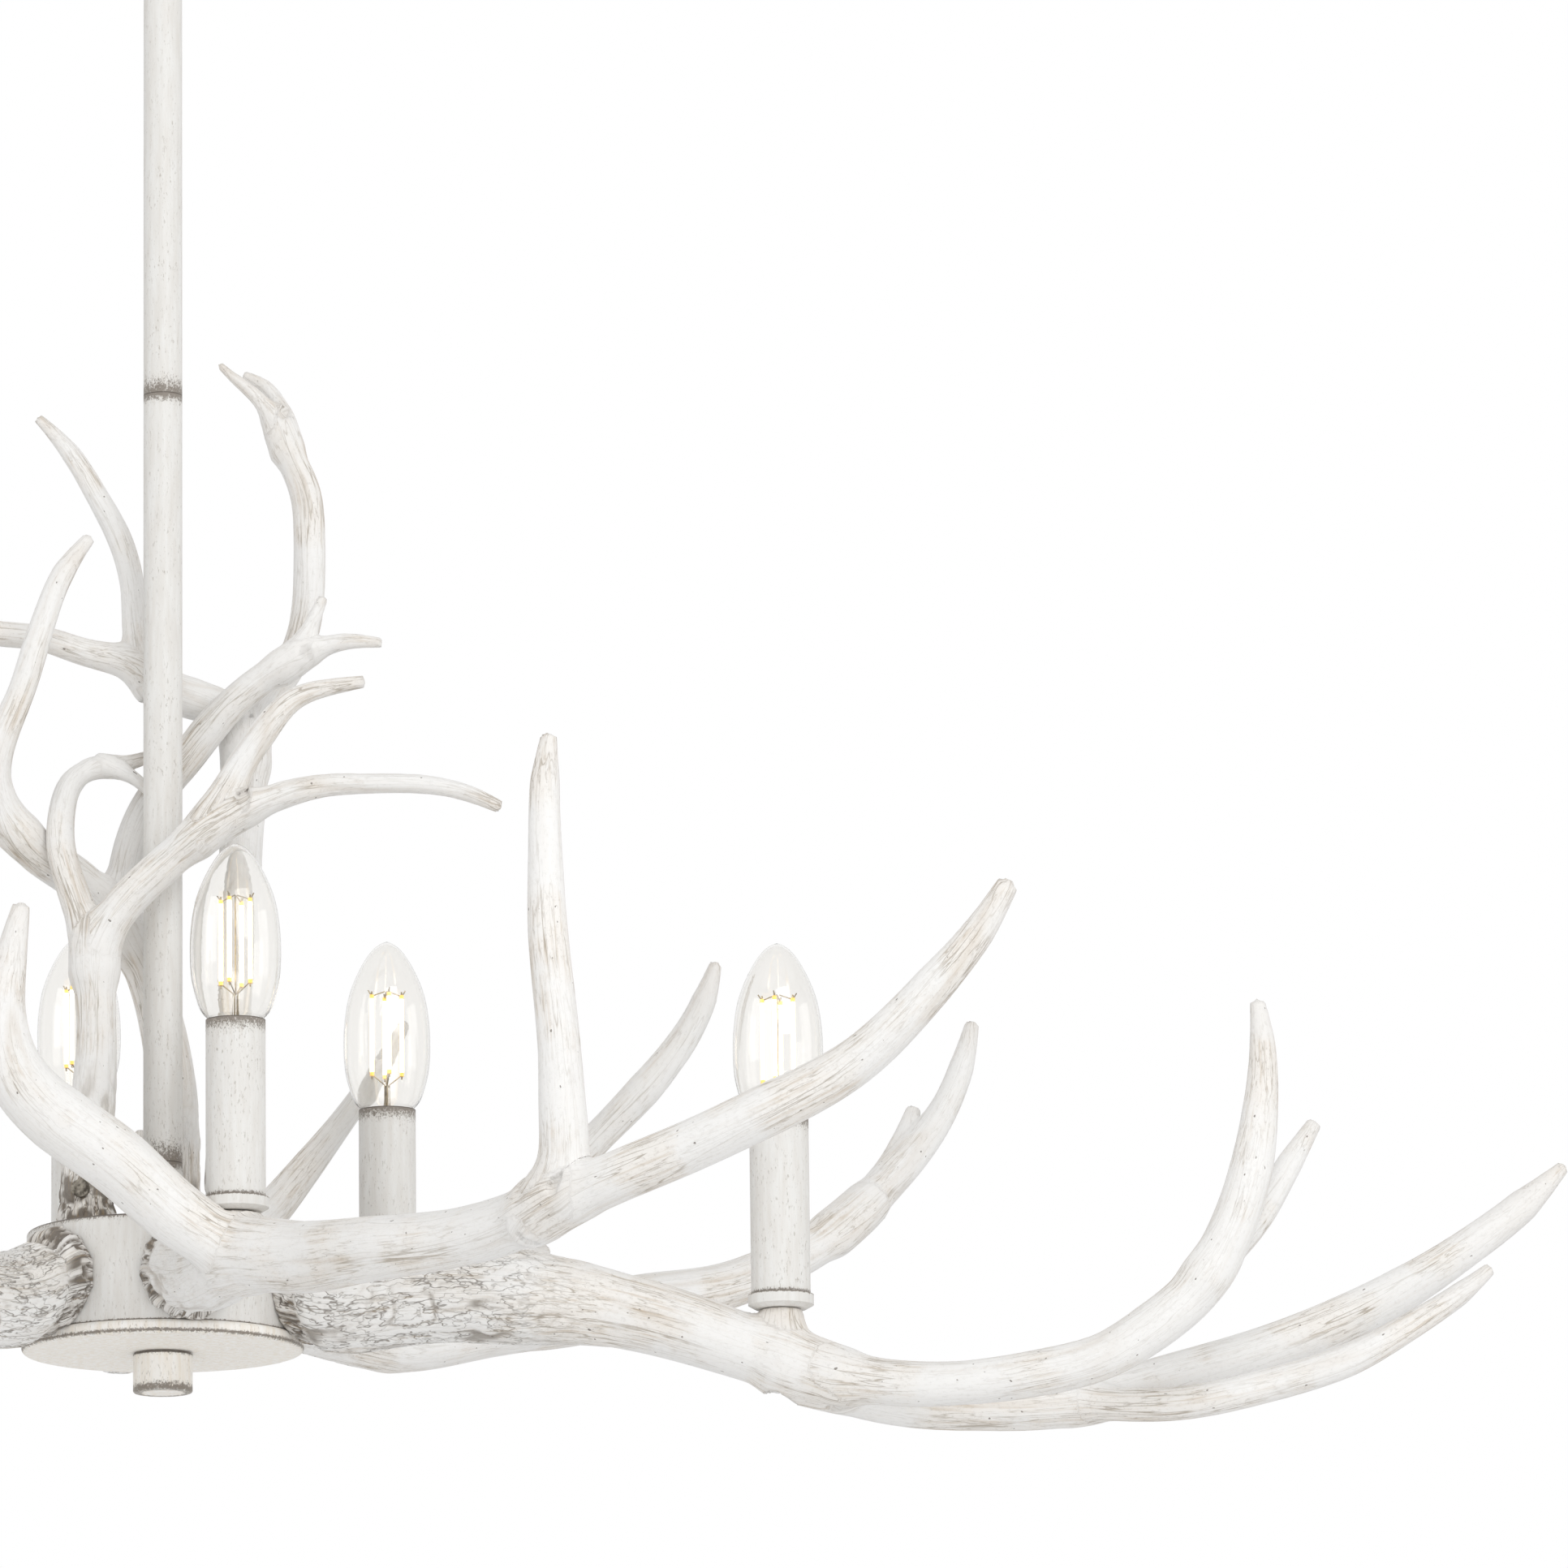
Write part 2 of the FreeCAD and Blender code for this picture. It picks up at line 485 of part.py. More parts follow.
REAR_OUTER_PATTERN = {
    "beam": [(-6, 0, 0, 34), (1, 0, 0, 34), (33, -1, -1, 33), (71, -3, 1, 31), (121, -4, 9, 29),
             (167, -4, 20, 27), (200, -3, 29, 26), (240, 0, 37, 24), (276, 4, 43, 22)],
    "upper_arm": [(258, 2, 40, 18), (298, 12, 51, 18), (330, 26, 68, 17), (356, 38, 92, 15),
                  (374, 46, 122, 12), (384, 50, 150, 9), (388, 52, 168, 5)],
    "lower_arm": [(258, 3, 40, 20), (300, 24, 46, 19), (342, 48, 52, 18), (384, 70, 64, 17),
                  (420, 88, 84, 14), (446, 100, 108, 10), (462, 106, 130, 5)],
    "brow_tine": [(40, -2, 2, 21), (60, -31, 28, 19), (66, -56, 45, 17), (68, -74, 65, 14), (68, -91, 87, 11),
                  (66, -107, 110, 9), (64, -120, 131, 5)],
    "spur": [(66, -9, 0, 15), (80, -12, 59, 10), (86, -13, 87, 6)],
}

LEFT_UPPER_PATTERN = {
    "trunk": [(0, 0, -4, 23), (0, 0, 0, 23), (0, 0, 15, 21), (2, 0, 44, 18), (4, 0, 80, 16),
              (3, 0, 106, 17), (3, 0, 116, 16)],
    "left_branch": [(4, 0, 104, 14), (-4, 4, 131, 13), (-10, 12, 153, 12), (-10, 20, 171, 11),
                    (-6, 26, 184, 10), (3, 31, 191, 8), (13, 35, 193, 7), (24, 39, 197, 5)],
    "left_twig": [(5, 31, 192, 7), (16, 31, 188, 6), (27, 28, 178, 4)],
    "right_branch": [(2, 0, 104, 14), (10, -4, 122, 15), (29, -9, 142, 15), (45, -13, 155, 14),
                     (61, -16, 165, 13)],
    "right_low_tip": [(52, -14, 159, 13), (78, -19, 170, 11), (94, -22, 173, 9), (109, -25, 173, 8),
                      (132, -28, 172, 8), (149, -31, 168, 7), (162, -33, 162, 5)],
    "right_high_tip": [(44, -13, 154, 13), (60, -16, 181, 12), (71, -19, 197, 11), (82, -21, 208, 9),
                       (95, -23, 212, 7), (109, -25, 214, 5)],
}

BACK_UPPER_PATTERN = {
    "trunk": [(0, 0, -4, 23), (0, 0, 0, 23), (1, 0, 30, 22), (1, 0, 59, 20), (-3, -2, 88, 18),
              (-10, -4, 110, 16), (-20, -7, 129, 16), (-25, -9, 137, 15)],
    "left_branch": [(-16, -6, 122, 14), (-36, -13, 145, 17), (-52, -21, 155, 17), (-63, -29, 166, 15),
                    (-69, -37, 182, 12), (-66, -41, 199, 12), (-59, -43, 216, 11), (-54, -44, 232, 11),
                    (-49, -44, 248, 10), (-42, -43, 265, 9), (-32, -42, 279, 5)],
    "outer_branch": [(-60, -27, 162, 13), (-81, -27, 176, 12), (-97, -23, 194, 9), (-109, -19, 218, 7),
                     (-115, -17, 238, 4)],
    "right_branch": [(-20, -7, 131, 14), (-16, -6, 159, 14), (-7, -6, 180, 14), (6, -11, 195, 14),
                     (16, -16, 207, 14), (26, -20, 217, 13), (39, -24, 227, 12), (53, -27, 235, 10)],
    "right_long_tip": [(46, -25, 231, 10), (68, -30, 239, 7), (84, -34, 238, 4)],
    "right_short_tip": [(47, -25, 230, 8), (57, -29, 248, 6), (61, -31, 257, 4)],
}

TALL_UPPER_PATTERN = {
    "trunk": [(0, 0, -4, 23), (0, 0, 0, 23), (0, 2, 21, 21), (1, 8, 55, 19), (1, 16, 88, 17),
              (3, 26, 123, 17), (4, 36, 159, 17), (6, 45, 191, 17), (6, 50, 209, 16)],
    "right_branch": [(6, 46, 194, 14), (13, 54, 220, 13), (22, 57, 234, 13), (29, 59, 250, 13),
                     (32, 61, 276, 13), (32, 62, 293, 13), (30, 63, 311, 13), (24, 63, 326, 12),
                     (20, 63, 339, 10)],
    "near_tip": [(22, 63, 330, 9), (12, 61, 348, 6), (3, 60, 356, 5), (-4, 59, 362, 3)],
    "far_tip": [(22, 63, 330, 9), (20, 68, 347, 7), (14, 71, 356, 6), (6, 73, 361, 4)],
    "left_branch": [(6, 46, 196, 14), (-4, 52, 218, 16), (-16, 53, 223, 17), (-29, 53, 229, 16),
                    (-39, 52, 236, 14), (-57, 51, 241, 11), (-77, 50, 247, 10), (-96, 49, 249, 10),
                    (-112, 47, 255, 7), (-125, 45, 264, 4)],
    "left_high_tip": [(-31, 53, 227, 14), (-37, 53, 248, 12), (-39, 52, 268, 10), (-45, 50, 289, 10),
                      (-54, 48, 306, 9), (-64, 46, 322, 8), (-77, 44, 336, 4)],
}

# name, pattern, place in the ring of six, candle seat
LOWER = [
    ("lower_antler_1", INNER_PATTERN, 0, "inner"), ("lower_antler_2", OUTER_PATTERN, 1, "outer"),
    ("lower_antler_3", REAR_INNER_PATTERN, 2, "inner"), ("lower_antler_4", REAR_OUTER_PATTERN, 3, "rear"),
    ("lower_antler_5", INNER_PATTERN, 4, "inner"), ("lower_antler_6", OUTER_PATTERN, 5, "outer"),
]
# name, pattern, place in the ring of three
UPPER = [
    ("upper_antler_1", LEFT_UPPER_PATTERN, 0), ("upper_antler_2", TALL_UPPER_PATTERN, 1),
    ("upper_antler_3", BACK_UPPER_PATTERN, 2),
]
SIDES = 12
RING_SPACING = 17


def lower_azimuth(antler):
    """Formula of a lower antler's place in the ring."""
    return "first_azimuth + %d" % (360 // len(LOWER) * antler[2])


def stood(feature, antler):
    """Bind an upright piece's place to the foot of an upper antler."""
    azimuth = "foot_azimuth + %d" % (360 // len(UPPER) * antler[2])
    return place(feature, x="foot_ring_radius * sin(%s)" % azimuth,
                 y="0 - foot_ring_radius * cos(%s)" % azimuth)


def antler_azimuth(antler):
    return size(lower_azimuth(antler))


def foot_spot(antler):
    """Centre of an upper antler's foot on the hub's top."""
    azimuth = size("foot_azimuth") + 360 / len(UPPER) * antler[2]
    return heading(azimuth) * size("foot_ring_radius") + UP * size("hub_top")


def smooth_line(points):
    """A smooth curve through points, with the distance along it at which each one lies."""
    along = [0.0]
    for first, second in zip(points, points[1:]):
        along.append(along[-1] + first.distanceToPoint(second))
    line = Part.BSplineCurve()
    line.interpolate(Points=points, Parameters=along)
    return line, along


def branch(stations):
    """A tapering limb through stations of (middle, thickness), round in section."""
    line, along = smooth_line([s[0] for s in stations])
    rings = max(3, int(round(along[-1] / RING_SPACING)))
    normal = None
    stops = [along[-1] * k / rings for k in range(rings + 1)] + [along[-1]]
    sections = []
    for k, u in enumerate(stops):
        tangent = line.tangent(min(u, along[-1] - 1e-6))[0]
        if normal is None:
            guide = UP if abs(tangent.z) < 0.8 else V(1, 0, 0)
            normal = guide - tangent * guide.dot(tangent)
        normal = normal - tangent * normal.dot(tangent)
        normal.normalize()
        across = tangent.cross(normal)
        i = max(j for j in range(len(along)) if along[j] <= u + 1e-9)
        i = min(i, len(along) - 2)
        share = (u - along[i]) / (along[i + 1] - along[i])
        thickness = stations[i][1] * (1 - share) + stations[i + 1][1] * share
        radius = thickness / 2
        centre = line.value(u)
        if k == len(stops) - 2:
            centre = line.value(u) - tangent * radius * 0.2
        if k == len(stops) - 1:
            centre = line.value(u) + tangent * radius * 0.5
            radius = radius * 0.45
        points = []
        for n in range(SIDES + 1):
            a = 2 * math.pi * (n % SIDES) / SIDES
            points.append(centre + normal * radius * math.cos(a) + across * radius * math.sin(a))
        sections.append(Part.makePolygon(points))
    return Part.makeLoft(sections, True, True)


def coronet(base, direction, diameter, thickness, lumps=11):
    """The burr: a knobbly ring where the antler meets what carries it."""
    frame = FreeCAD.Rotation(UP, direction)
    sections = []
    for share, height in ((0.92, -0.4), (1.0, 0.25), (0.98, 0.7), (0.82, 1.0)):
        points = []
        for n in range(2 * lumps + 1):
            a = math.pi * (n % (2 * lumps)) / lumps
            swell = 1.0 if n % 2 == 0 else 0.94
            radius = diameter / 2 * share * swell
            points.append(base + frame.multVec(
                V(radius * math.cos(a), radius * math.sin(a), thickness * height)))
        sections.append(Part.makePolygon(points))
    return Part.makeLoft(sections, True, True)


def swung(vector, degrees):
    """Turn a pattern vector about the upright axis through the burr."""
    return FreeCAD.Rotation(UP, degrees).multVec(vector)


def lower_frame(antler):
    """Turns (out, sideways, up) pattern millimetres into a place on the chandelier."""
    azimuth = antler_azimuth(antler)
    growth = size("antler_growth")
    face = heading(azimuth) * size("drum_radius") + UP * size("burr_z")
    swing = size("rear_swing") if antler[1] is REAR_OUTER_PATTERN else 0.0

    def locate(out, side, up):
        flat = swung(V(out, side, 0), swing) if out > 0 else V(out, side, 0)
        return face + (heading(azimuth) * flat.x + sideways(azimuth) * flat.y + UP * up) * growth

    return locate


def grow(limbs):
    """Join an antler's limbs into one solid."""
    body = limbs[0]
    for limb in limbs[1:]:
        body = body.fuse(limb)
    return body


def beam_height(pattern, out):
    """Height of the beam's middle line at this reach, in pattern millimetres."""
    beam = pattern["beam"]
    for first, second in zip(beam, beam[1:]):
        if first[0] <= out <= second[0]:
            share = (out - first[0]) / (second[0] - first[0])
            return first[2] * (1 - share) + second[2] * share
    return beam[-1][2]


def lower_antler(antler):
    name, pattern, place_in_ring, kind = antler
    locate = lower_frame(antler)
    azimuth = antler_azimuth(antler)
    growth = size("lower_antler_girth") / PATTERN_LOWER_GIRTH
    limbs = []
    for stations in pattern.values():
        limbs.append(branch([(locate(*s[:3]), s[3] * growth) for s in stations]))
    way = heading(azimuth)
    face = way * size("drum_radius") + UP * size("burr_z")
    limbs.insert(1, coronet(face, way, size("burr_diameter"), size("burr_thickness")))
    seat = V(*[size("seat_%s_%s" % (axis, name[-1])) for axis in "xyz"])
    out = size(kind + "_seat_out")
    root = locate(out, size(kind + "_seat_side"), beam_height(pattern, out))
    limbs.insert(2, Part.makeCone(size("boss_foot_radius"), size("boss_radius"), seat.z - root.z, root))
    body = grow(limbs)
    above_seat = Part.makeCylinder(size("boss_foot_radius") + 3, 10, seat)
    nipple_hole = Part.makeCylinder(size("nipple_hole"), size("nipple_depth") + 1,
                                    seat - UP * size("nipple_depth"))
    drum = Part.makeCylinder(size("drum_radius") + size("seat_gap"), 200, V(0, 0, size("burr_z") - 100))
    plate = Part.makeCylinder(size("plate_radius") + size("seat_gap") * 3, 40,
                              V(0, 0, size("drum_z") + size("seat_gap") * 3 - 40))
    bolt_hole = Part.makeCylinder(size("antler_bolt_hole"), size("antler_bolt_length") + 6,
                                  face - way * 5, way)
    keep(shaped(name, body.cut([above_seat, nipple_hole, drum, plate, bolt_hole])))


def upper_antler(antler):
    name, pattern, place_in_ring = antler
    foot = foot_spot(antler)
    height = size("upper_antler_height") / PATTERN_HEIGHT
    growth = size("upper_antler_girth") / PATTERN_UPPER_GIRTH
    limbs = [branch([(foot + V(*s[:3]) * height, s[3] * growth) for s in stations])
             for stations in pattern.values()]
    limbs.insert(1, coronet(foot, UP, size("foot_burr_diameter"), size("foot_burr_height"), 7))
    body = grow(limbs)
    below = Part.makeCylinder(40, 20, foot - UP * (20 - size("seat_gap")))
    bolt_hole = Part.makeCylinder(size("foot_bolt_hole"), size("foot_bolt_length") + 6, foot - UP * 5)
    way = heading(size("foot_screw_azimuth") + 360 / len(UPPER) * antler[2])
    gap = size("bolt_gap")
    face = foot + UP * size("foot_screw_height") + way * (size("upper_antler_girth") / 2 - 2)
    head = Part.makeCylinder(size("foot_screw_head") / 2 + gap, 3 + 3 * gap, face, way)
    shank = Part.makeCylinder(size("foot_screw_shank") / 2 + gap, 5.5 + gap, face, -way)
    keep(shaped(name, body.cut([below, bolt_hole, head, shank])))


def foot_screw(number, antler):
    """Pan-headed locking screw in an upper antler's foot."""
    turn = 360 // len(UPPER) * antler[2]
    foot, way = "foot_azimuth + %d" % turn, "foot_screw_azimuth + %d" % turn
    pieces = []
    for name, radius, height, back in (("screw_head_%d", "foot_screw_head / 2", "3", "2"),
                                       ("screw_shank_%d", "foot_screw_shank / 2", "6", "7.5")):
        piece = rod(name % number, radius, height)
        piece.Placement.Rotation = FreeCAD.Rotation(UP, heading(size(way)))
        out = "(upper_antler_girth / 2 - %s)" % back
        pieces.append(place(piece, x="foot_ring_radius * sin(%s) + %s * sin(%s)" % (foot, out, way),
                            y="0 - foot_ring_radius * cos(%s) - %s * cos(%s)" % (foot, out, way),
                            z="hub_top + foot_screw_height"))
    return joined("foot_screw_%d" % number, pieces)


def antlers():
    for antler in LOWER:
        lower_antler(antler)
    for antler in UPPER:
        upper_antler(antler)
    keep(grouped("foot_screws", [foot_screw(number, antler) for number, antler in enumerate(UPPER, 1)]))
    bolts = []
    for number, antler in enumerate(LOWER, 1):
        name = "antler_bolt_%d" % number
        shank = rod(name + "_shank", "antler_bolt_diameter / 2", "antler_bolt_length", z="burr_z")
        head = hexagon(name + "_head", "antler_bolt_diameter * 1.6", "4", z="burr_z")
        bolts.append(joined(name, [aimed(shank, lower_azimuth(antler), "drum_inner - 0.5"),
                                   aimed(head, lower_azimuth(antler), "drum_inner - 4.5")]))
    for number, antler in enumerate(UPPER, 1):
        name = "foot_bolt_%d" % number
        shank = rod(name + "_shank", "foot_bolt_diameter / 2", "foot_bolt_length",
                    z="hub_top - drum_wall - 0.2")
        head = hexagon(name + "_head", "foot_bolt_diameter * 1.6", "3.5", z="hub_top - drum_wall - 3.7")
        bolts.append(joined(name, [stood(shank, antler), stood(head, antler)]))
    keep(grouped("antler_bolts", bolts))


# ------------------------------------------------------------------ candles and bulbs

# (share of the widest radius, share of the height above the sleeve's rim)
BULB_OUTLINE = [(0.58, 0.0), (0.71, 0.035), (0.86, 0.12), (0.965, 0.23), (1.0, 0.35), (0.995, 0.46),
                (0.955, 0.57), (0.86, 0.69), (0.71, 0.79), (0.5, 0.89), (0.26, 0.965), (0.0, 1.0)]


def bulb_solid(shrink):
    """The bulb's outer form, or with a shrink its hollow inside, on the sleeve rim's level."""
    neck = size("bulb_neck_diameter") / 2 - shrink
    width = size("bulb_diameter") / 2 - shrink
    tall = size("bulb_height") - shrink
    low = -size("bulb_neck_depth")
    points = [V(neck, 0, low), V(neck, 0, low * 0.8), V(neck + 1.1, 0, low * 0.45)]
    points += [V(r * width, 0, h * tall) for r, h in BULB_OUTLINE]
    curve, along = smooth_line(points)
    base = Part.makePolygon([V(0, 0, tall), V(0, 0, low), V(neck, 0, low)])
    wire = Part.Wire([curve.toShape()] + base.Edges)
    return Part.Face(wire).revolve(V(0, 0, 0), UP, 360)


def bulb_form():
    """Screw cap with its contact, the glass mount and four glowing rods."""
    cap = rod("bulb_cap", "cap_radius", "cap_length", z="cap_z")
    contact = cone("bulb_contact", "cap_radius * 0.35", "cap_radius * 0.8", "1.6", z="cap_z - 1.2")
    mount = cone("bulb_mount", "mount_diameter / 2 * 1.1", "mount_diameter / 2 * 0.6", "mount_height",
                 z="cap_z + cap_length")
    spike = rod("bulb_spike", "0.7", "filament_length", z="cap_z + cap_length + mount_height * 0.95")
    pieces = [cap, contact, mount, spike]
    foot = "cap_z + cap_length + mount_height"
    for number in range(4):
        azimuth = "%d" % (45 + 90 * number)
        pieces.append(rod("filament_%d" % number, "filament_diameter / 2", "filament_length", z=foot,
                          x="filament_ring * sin(%s)" % azimuth, y="0 - filament_ring * cos(%s)" % azimuth))
        for end, level in (("low", foot + " + 0.5"), ("high", foot + " + filament_length - 0.5")):
            wire = rod("%s_wire_%d" % (end, number), "0.35", "filament_ring", z=level)
            pieces.append(aimed(wire, azimuth, "0"))
    return joined("bulb_core_form", pieces)


def candles():
    glass = shaped("bulb_glass_form", bulb_solid(0.0).cut(bulb_solid(size("bulb_wall"))))
    core = bulb_form()
    nipples = []
    for number, antler in enumerate(LOWER, 1):
        across = {"x": "seat_x_%d" % number, "y": "seat_y_%d" % number}
        seat = "seat_z_%d" % number
        keep(turned("candle_cup_%d" % number, [
            ("nipple_hole", None), ("cup_foot_radius", None), ("cup_radius", "cup_floor"),
            ("cup_radius", "cup_height"), ("cup_inner", "cup_height"), ("cup_inner", "cup_floor"),
            ("nipple_hole", "cup_floor")], z=seat, **across))
        keep(tube("candle_sleeve_%d" % number, "sleeve_inner", "sleeve_radius", "sleeve_length",
                  z=seat + " + cup_floor", **across))
        keep(turned("lampholder_%d" % number, [
            ("nipple_hole", None), ("holder_radius", None), ("holder_radius", "holder_height"),
            ("holder_bore_radius", "holder_height"), ("holder_bore_radius", "holder_bore_floor"),
            ("nipple_hole", "holder_bore_floor")], z=seat + " + holder_z", **across))
        for name, form in (("bulb_glass_%d", glass), ("bulb_core_%d", core)):
            keep(place(grouped(name % number, [form]), z=seat + " + sleeve_top", **across))
        name = "candle_nipple_%d" % number
        low = seat + " - nipple_depth"
        pipe = rod(name + "_pipe", "nipple_radius", "nipple_length", z=low, **across)
        flange = hexagon(name + "_nut", "candle_nut_width", "candle_nut_height",
                         z=seat + " + cup_floor", **across)
        bore = rod(name + "_bore", "nipple_inner", "200", z=seat + " - 50", **across)
        nipples.append(carved(name, joined(name + "_solid", [pipe, flange]), [bore]))
    keep(grouped("candle_nipples", nipples))


# ------------------------------------------------------------------ build and write

ceiling_plate()
canopy()
swivel()
stems()
antlers()
hub()
candles()
doc.recompute()

for feature in doc.Objects:
    if "Invalid" in feature.State or "Error" in feature.State:
        raise RuntimeError("%s failed to build" % feature.Name)
for name, feature in parts.items():
    shape = feature.Shape
    if shape.isNull() or not shape.isValid() or shape.Volume <= 0:
        raise RuntimeError("%s has no sound solid" % name)

os.makedirs("parts", exist_ok=True)
for name, feature in parts.items():
    feature.Label = name
    feature.Shape.exportStep("parts/%s.step" % name)
print(len(parts), "sub-parts written")
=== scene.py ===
"""Looks of the antler chandelier: cast antlers in distressed white, painted steel, clear bulbs."""

import math

import bpy
import numpy as np
from mathutils import Matrix, Quaternion, Vector


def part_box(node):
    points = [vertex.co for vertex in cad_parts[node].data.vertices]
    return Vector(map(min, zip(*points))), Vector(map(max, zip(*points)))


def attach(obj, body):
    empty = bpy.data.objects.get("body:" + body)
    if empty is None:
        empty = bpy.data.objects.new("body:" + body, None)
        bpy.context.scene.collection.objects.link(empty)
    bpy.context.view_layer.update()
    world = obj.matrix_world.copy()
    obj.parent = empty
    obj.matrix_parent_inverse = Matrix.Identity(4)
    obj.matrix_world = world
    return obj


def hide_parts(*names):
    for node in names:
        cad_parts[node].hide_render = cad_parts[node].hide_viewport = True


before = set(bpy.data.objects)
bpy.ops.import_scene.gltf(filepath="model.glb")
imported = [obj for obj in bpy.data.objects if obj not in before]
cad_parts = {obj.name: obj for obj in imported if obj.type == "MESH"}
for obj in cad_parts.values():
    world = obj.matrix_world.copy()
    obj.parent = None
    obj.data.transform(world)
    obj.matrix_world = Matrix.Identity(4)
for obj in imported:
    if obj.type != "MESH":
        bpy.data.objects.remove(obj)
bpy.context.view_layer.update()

bl_info = {
    "name": "Antler Chandelier",
    "version": (1, 0, 0),
    "blender": (4, 5, 0),
    "location": "3D View > Sidebar > Chandelier",
    "description": "Dresses the hanging antler chandelier",
    "category": "Object",
}

MM = 0.001

# ------------------------------------------------------------------ the antlers' middle lines
# Stations along each limb: (out from the drum, sideways, up from the burr, thickness) on a
# lower antler and (right, back, up from the foot, thickness) on an upper one, in millimetres.

INNER_PATTERN = {
    "beam": [(-6, -1, 0, 35), (1, -1, 0, 35), (36, 2, -4, 33), (74, 8, -5, 30), (103, 21, -10, 28),
             (149, 39, -14, 25), (194, 64, -16, 22), (228, 82, -13, 22), (254, 93, -7, 21)],
    "far_tine": [(240, 88, -11, 21), (272, 108, -4, 19), (296, 130, 4, 19), (321, 155, 15, 19),
                 (342, 180, 29, 17), (363, 204, 54, 15), (374, 218, 72, 12), (381, 227, 88, 8)],
    "mid_tine": [(236, 84, -14, 18), (255, 91, 6, 19), (259, 90, 20, 18), (263, 88, 43, 16),
                 (263, 84, 88, 15), (260, 84, 119, 13), (256, 85, 146, 11), (254, 87, 163, 6)],
    "near_tine": [(74, 10, -6, 23), (74, -20, 11, 25), (77, -41, 28, 26), (82, -66, 44, 26),
                  (87, -83, 60, 23), (92, -89, 81, 18), (95, -87, 102, 13), (96, -83, 123, 7)],
}
REAR_INNER_PATTERN = {
    "beam": [(-6, 0, 0, 34), (1, 0, 0, 34), (33, 2, -2, 32), (71, 4, -5, 30), (121, 2, 4, 28),
             (167, 1, 12, 26), (213, 1, 23, 22), (249, -1, 31, 20), (277, -5, 42, 19),
             (302, -10, 56, 18), (322, -13, 71, 17)],
    "outer_tip": [(308, -11, 60, 16), (342, -13, 88, 16), (365, -15, 113, 13), (378, -16, 136, 11),
                  (386, -15, 156, 6)],
    "inner_tip": [(306, -9, 58, 13), (338, -7, 83, 12), (351, -6, 101, 10), (361, -4, 118, 6)],
    "side_tine": [(118, 5, 8, 17), (127, -13, 40, 15), (131, -33, 62, 14), (137, -51, 78, 13),
                  (143, -68, 93, 14), (150, -83, 111, 12), (153, -94, 128, 10), (154, -100, 142, 5)],
    "snag": [(78, 8, 4, 12), (109, 8, 24, 11), (134, 5, 32, 9), (153, 1, 37, 7)],
}
OUTER_PATTERN = {
    "beam": [(-6, 0, -1, 36), (1, 0, -2, 37), (14, -3, -8, 38), (50, -8, -10, 36), (98, -10, -12, 37),
             (137, -9, -19, 29), (169, -7, -29, 27), (198, -4, -40, 25), (221, -2, -49, 24)],
    "upper_arm": [(205, -3, -43, 22), (242, -7, -52, 18), (274, -8, -54, 17), (307, -7, -51, 18),
                  (329, -6, -46, 18), (347, -4, -36, 19), (364, -1, -22, 19), (377, 1, -1, 18),
                  (385, 4, 22, 17), (389, 7, 47, 14), (390, 9, 74, 10), (388, 11, 90, 6)],
    "back_tine": [(368, -2, -16, 13), (383, 28, 11, 12), (392, 44, 33, 10), (399, 55, 49, 6)],
    "lower_arm": [(204, -3, -44, 22), (236, 15, -55, 20), (270, 33, -58, 18), (304, 53, -55, 18),
                  (332, 72, -46, 20), (361, 90, -36, 20), (389, 108, -23, 19), (417, 127, -6, 18),
                  (440, 141, 11, 15), (460, 155, 29, 13), (475, 164, 45, 5)],
    "low_tine": [(304, 50, -55, 13), (345, 48, -58, 13), (379, 54, -52, 13), (409, 64, -42, 13),
                 (432, 75, -28, 11), (449, 83, -16, 9), (460, 89, -6, 5)],
}
REAR_OUTER_PATTERN = {
    "beam": [(-6, 0, 0, 34), (1, 0, 0, 34), (33, -1, -1, 33), (71, -3, 1, 31), (121, -4, 9, 29),
             (167, -4, 20, 27), (200, -3, 29, 26), (240, 0, 37, 24), (276, 4, 43, 22)],
    "upper_arm": [(258, 2, 40, 18), (298, 12, 51, 18), (330, 26, 68, 17), (356, 38, 92, 15),
                  (374, 46, 122, 12), (384, 50, 150, 9), (388, 52, 168, 5)],
    "lower_arm": [(258, 3, 40, 20), (300, 24, 46, 19), (342, 48, 52, 18), (384, 70, 64, 17),
                  (420, 88, 84, 14), (446, 100, 108, 10), (462, 106, 130, 5)],
    "brow_tine": [(40, -2, 2, 21), (60, -31, 28, 19), (66, -56, 45, 17), (68, -74, 65, 14),
                  (68, -91, 87, 11), (66, -107, 110, 9), (64, -120, 131, 5)],
    "spur": [(66, -9, 0, 15), (80, -12, 59, 10), (86, -13, 87, 6)],
}
LEFT_UPPER_PATTERN = {
    "trunk": [(0, 0, -4, 23), (0, 0, 0, 23), (0, 0, 15, 21), (2, 0, 44, 18), (4, 0, 80, 16),
              (3, 0, 106, 17), (3, 0, 116, 16)],
    "left_branch": [(4, 0, 104, 14), (-4, 4, 131, 13), (-10, 12, 153, 12), (-10, 20, 171, 11),
                    (-6, 26, 184, 10), (3, 31, 191, 8), (13, 35, 193, 7), (24, 39, 197, 5)],
    "left_twig": [(5, 31, 192, 7), (16, 31, 188, 6), (27, 28, 178, 4)],
    "right_branch": [(2, 0, 104, 14), (10, -4, 122, 15), (29, -9, 142, 15), (45, -13, 155, 14),
                     (61, -16, 165, 13)],
    "right_low_tip": [(52, -14, 159, 13), (78, -19, 170, 11), (94, -22, 173, 9), (109, -25, 173, 8),
                      (132, -28, 172, 8), (149, -31, 168, 7), (162, -33, 162, 5)],
    "right_high_tip": [(44, -13, 154, 13), (60, -16, 181, 12), (71, -19, 197, 11), (82, -21, 208, 9),
                       (95, -23, 212, 7), (109, -25, 214, 5)],
}
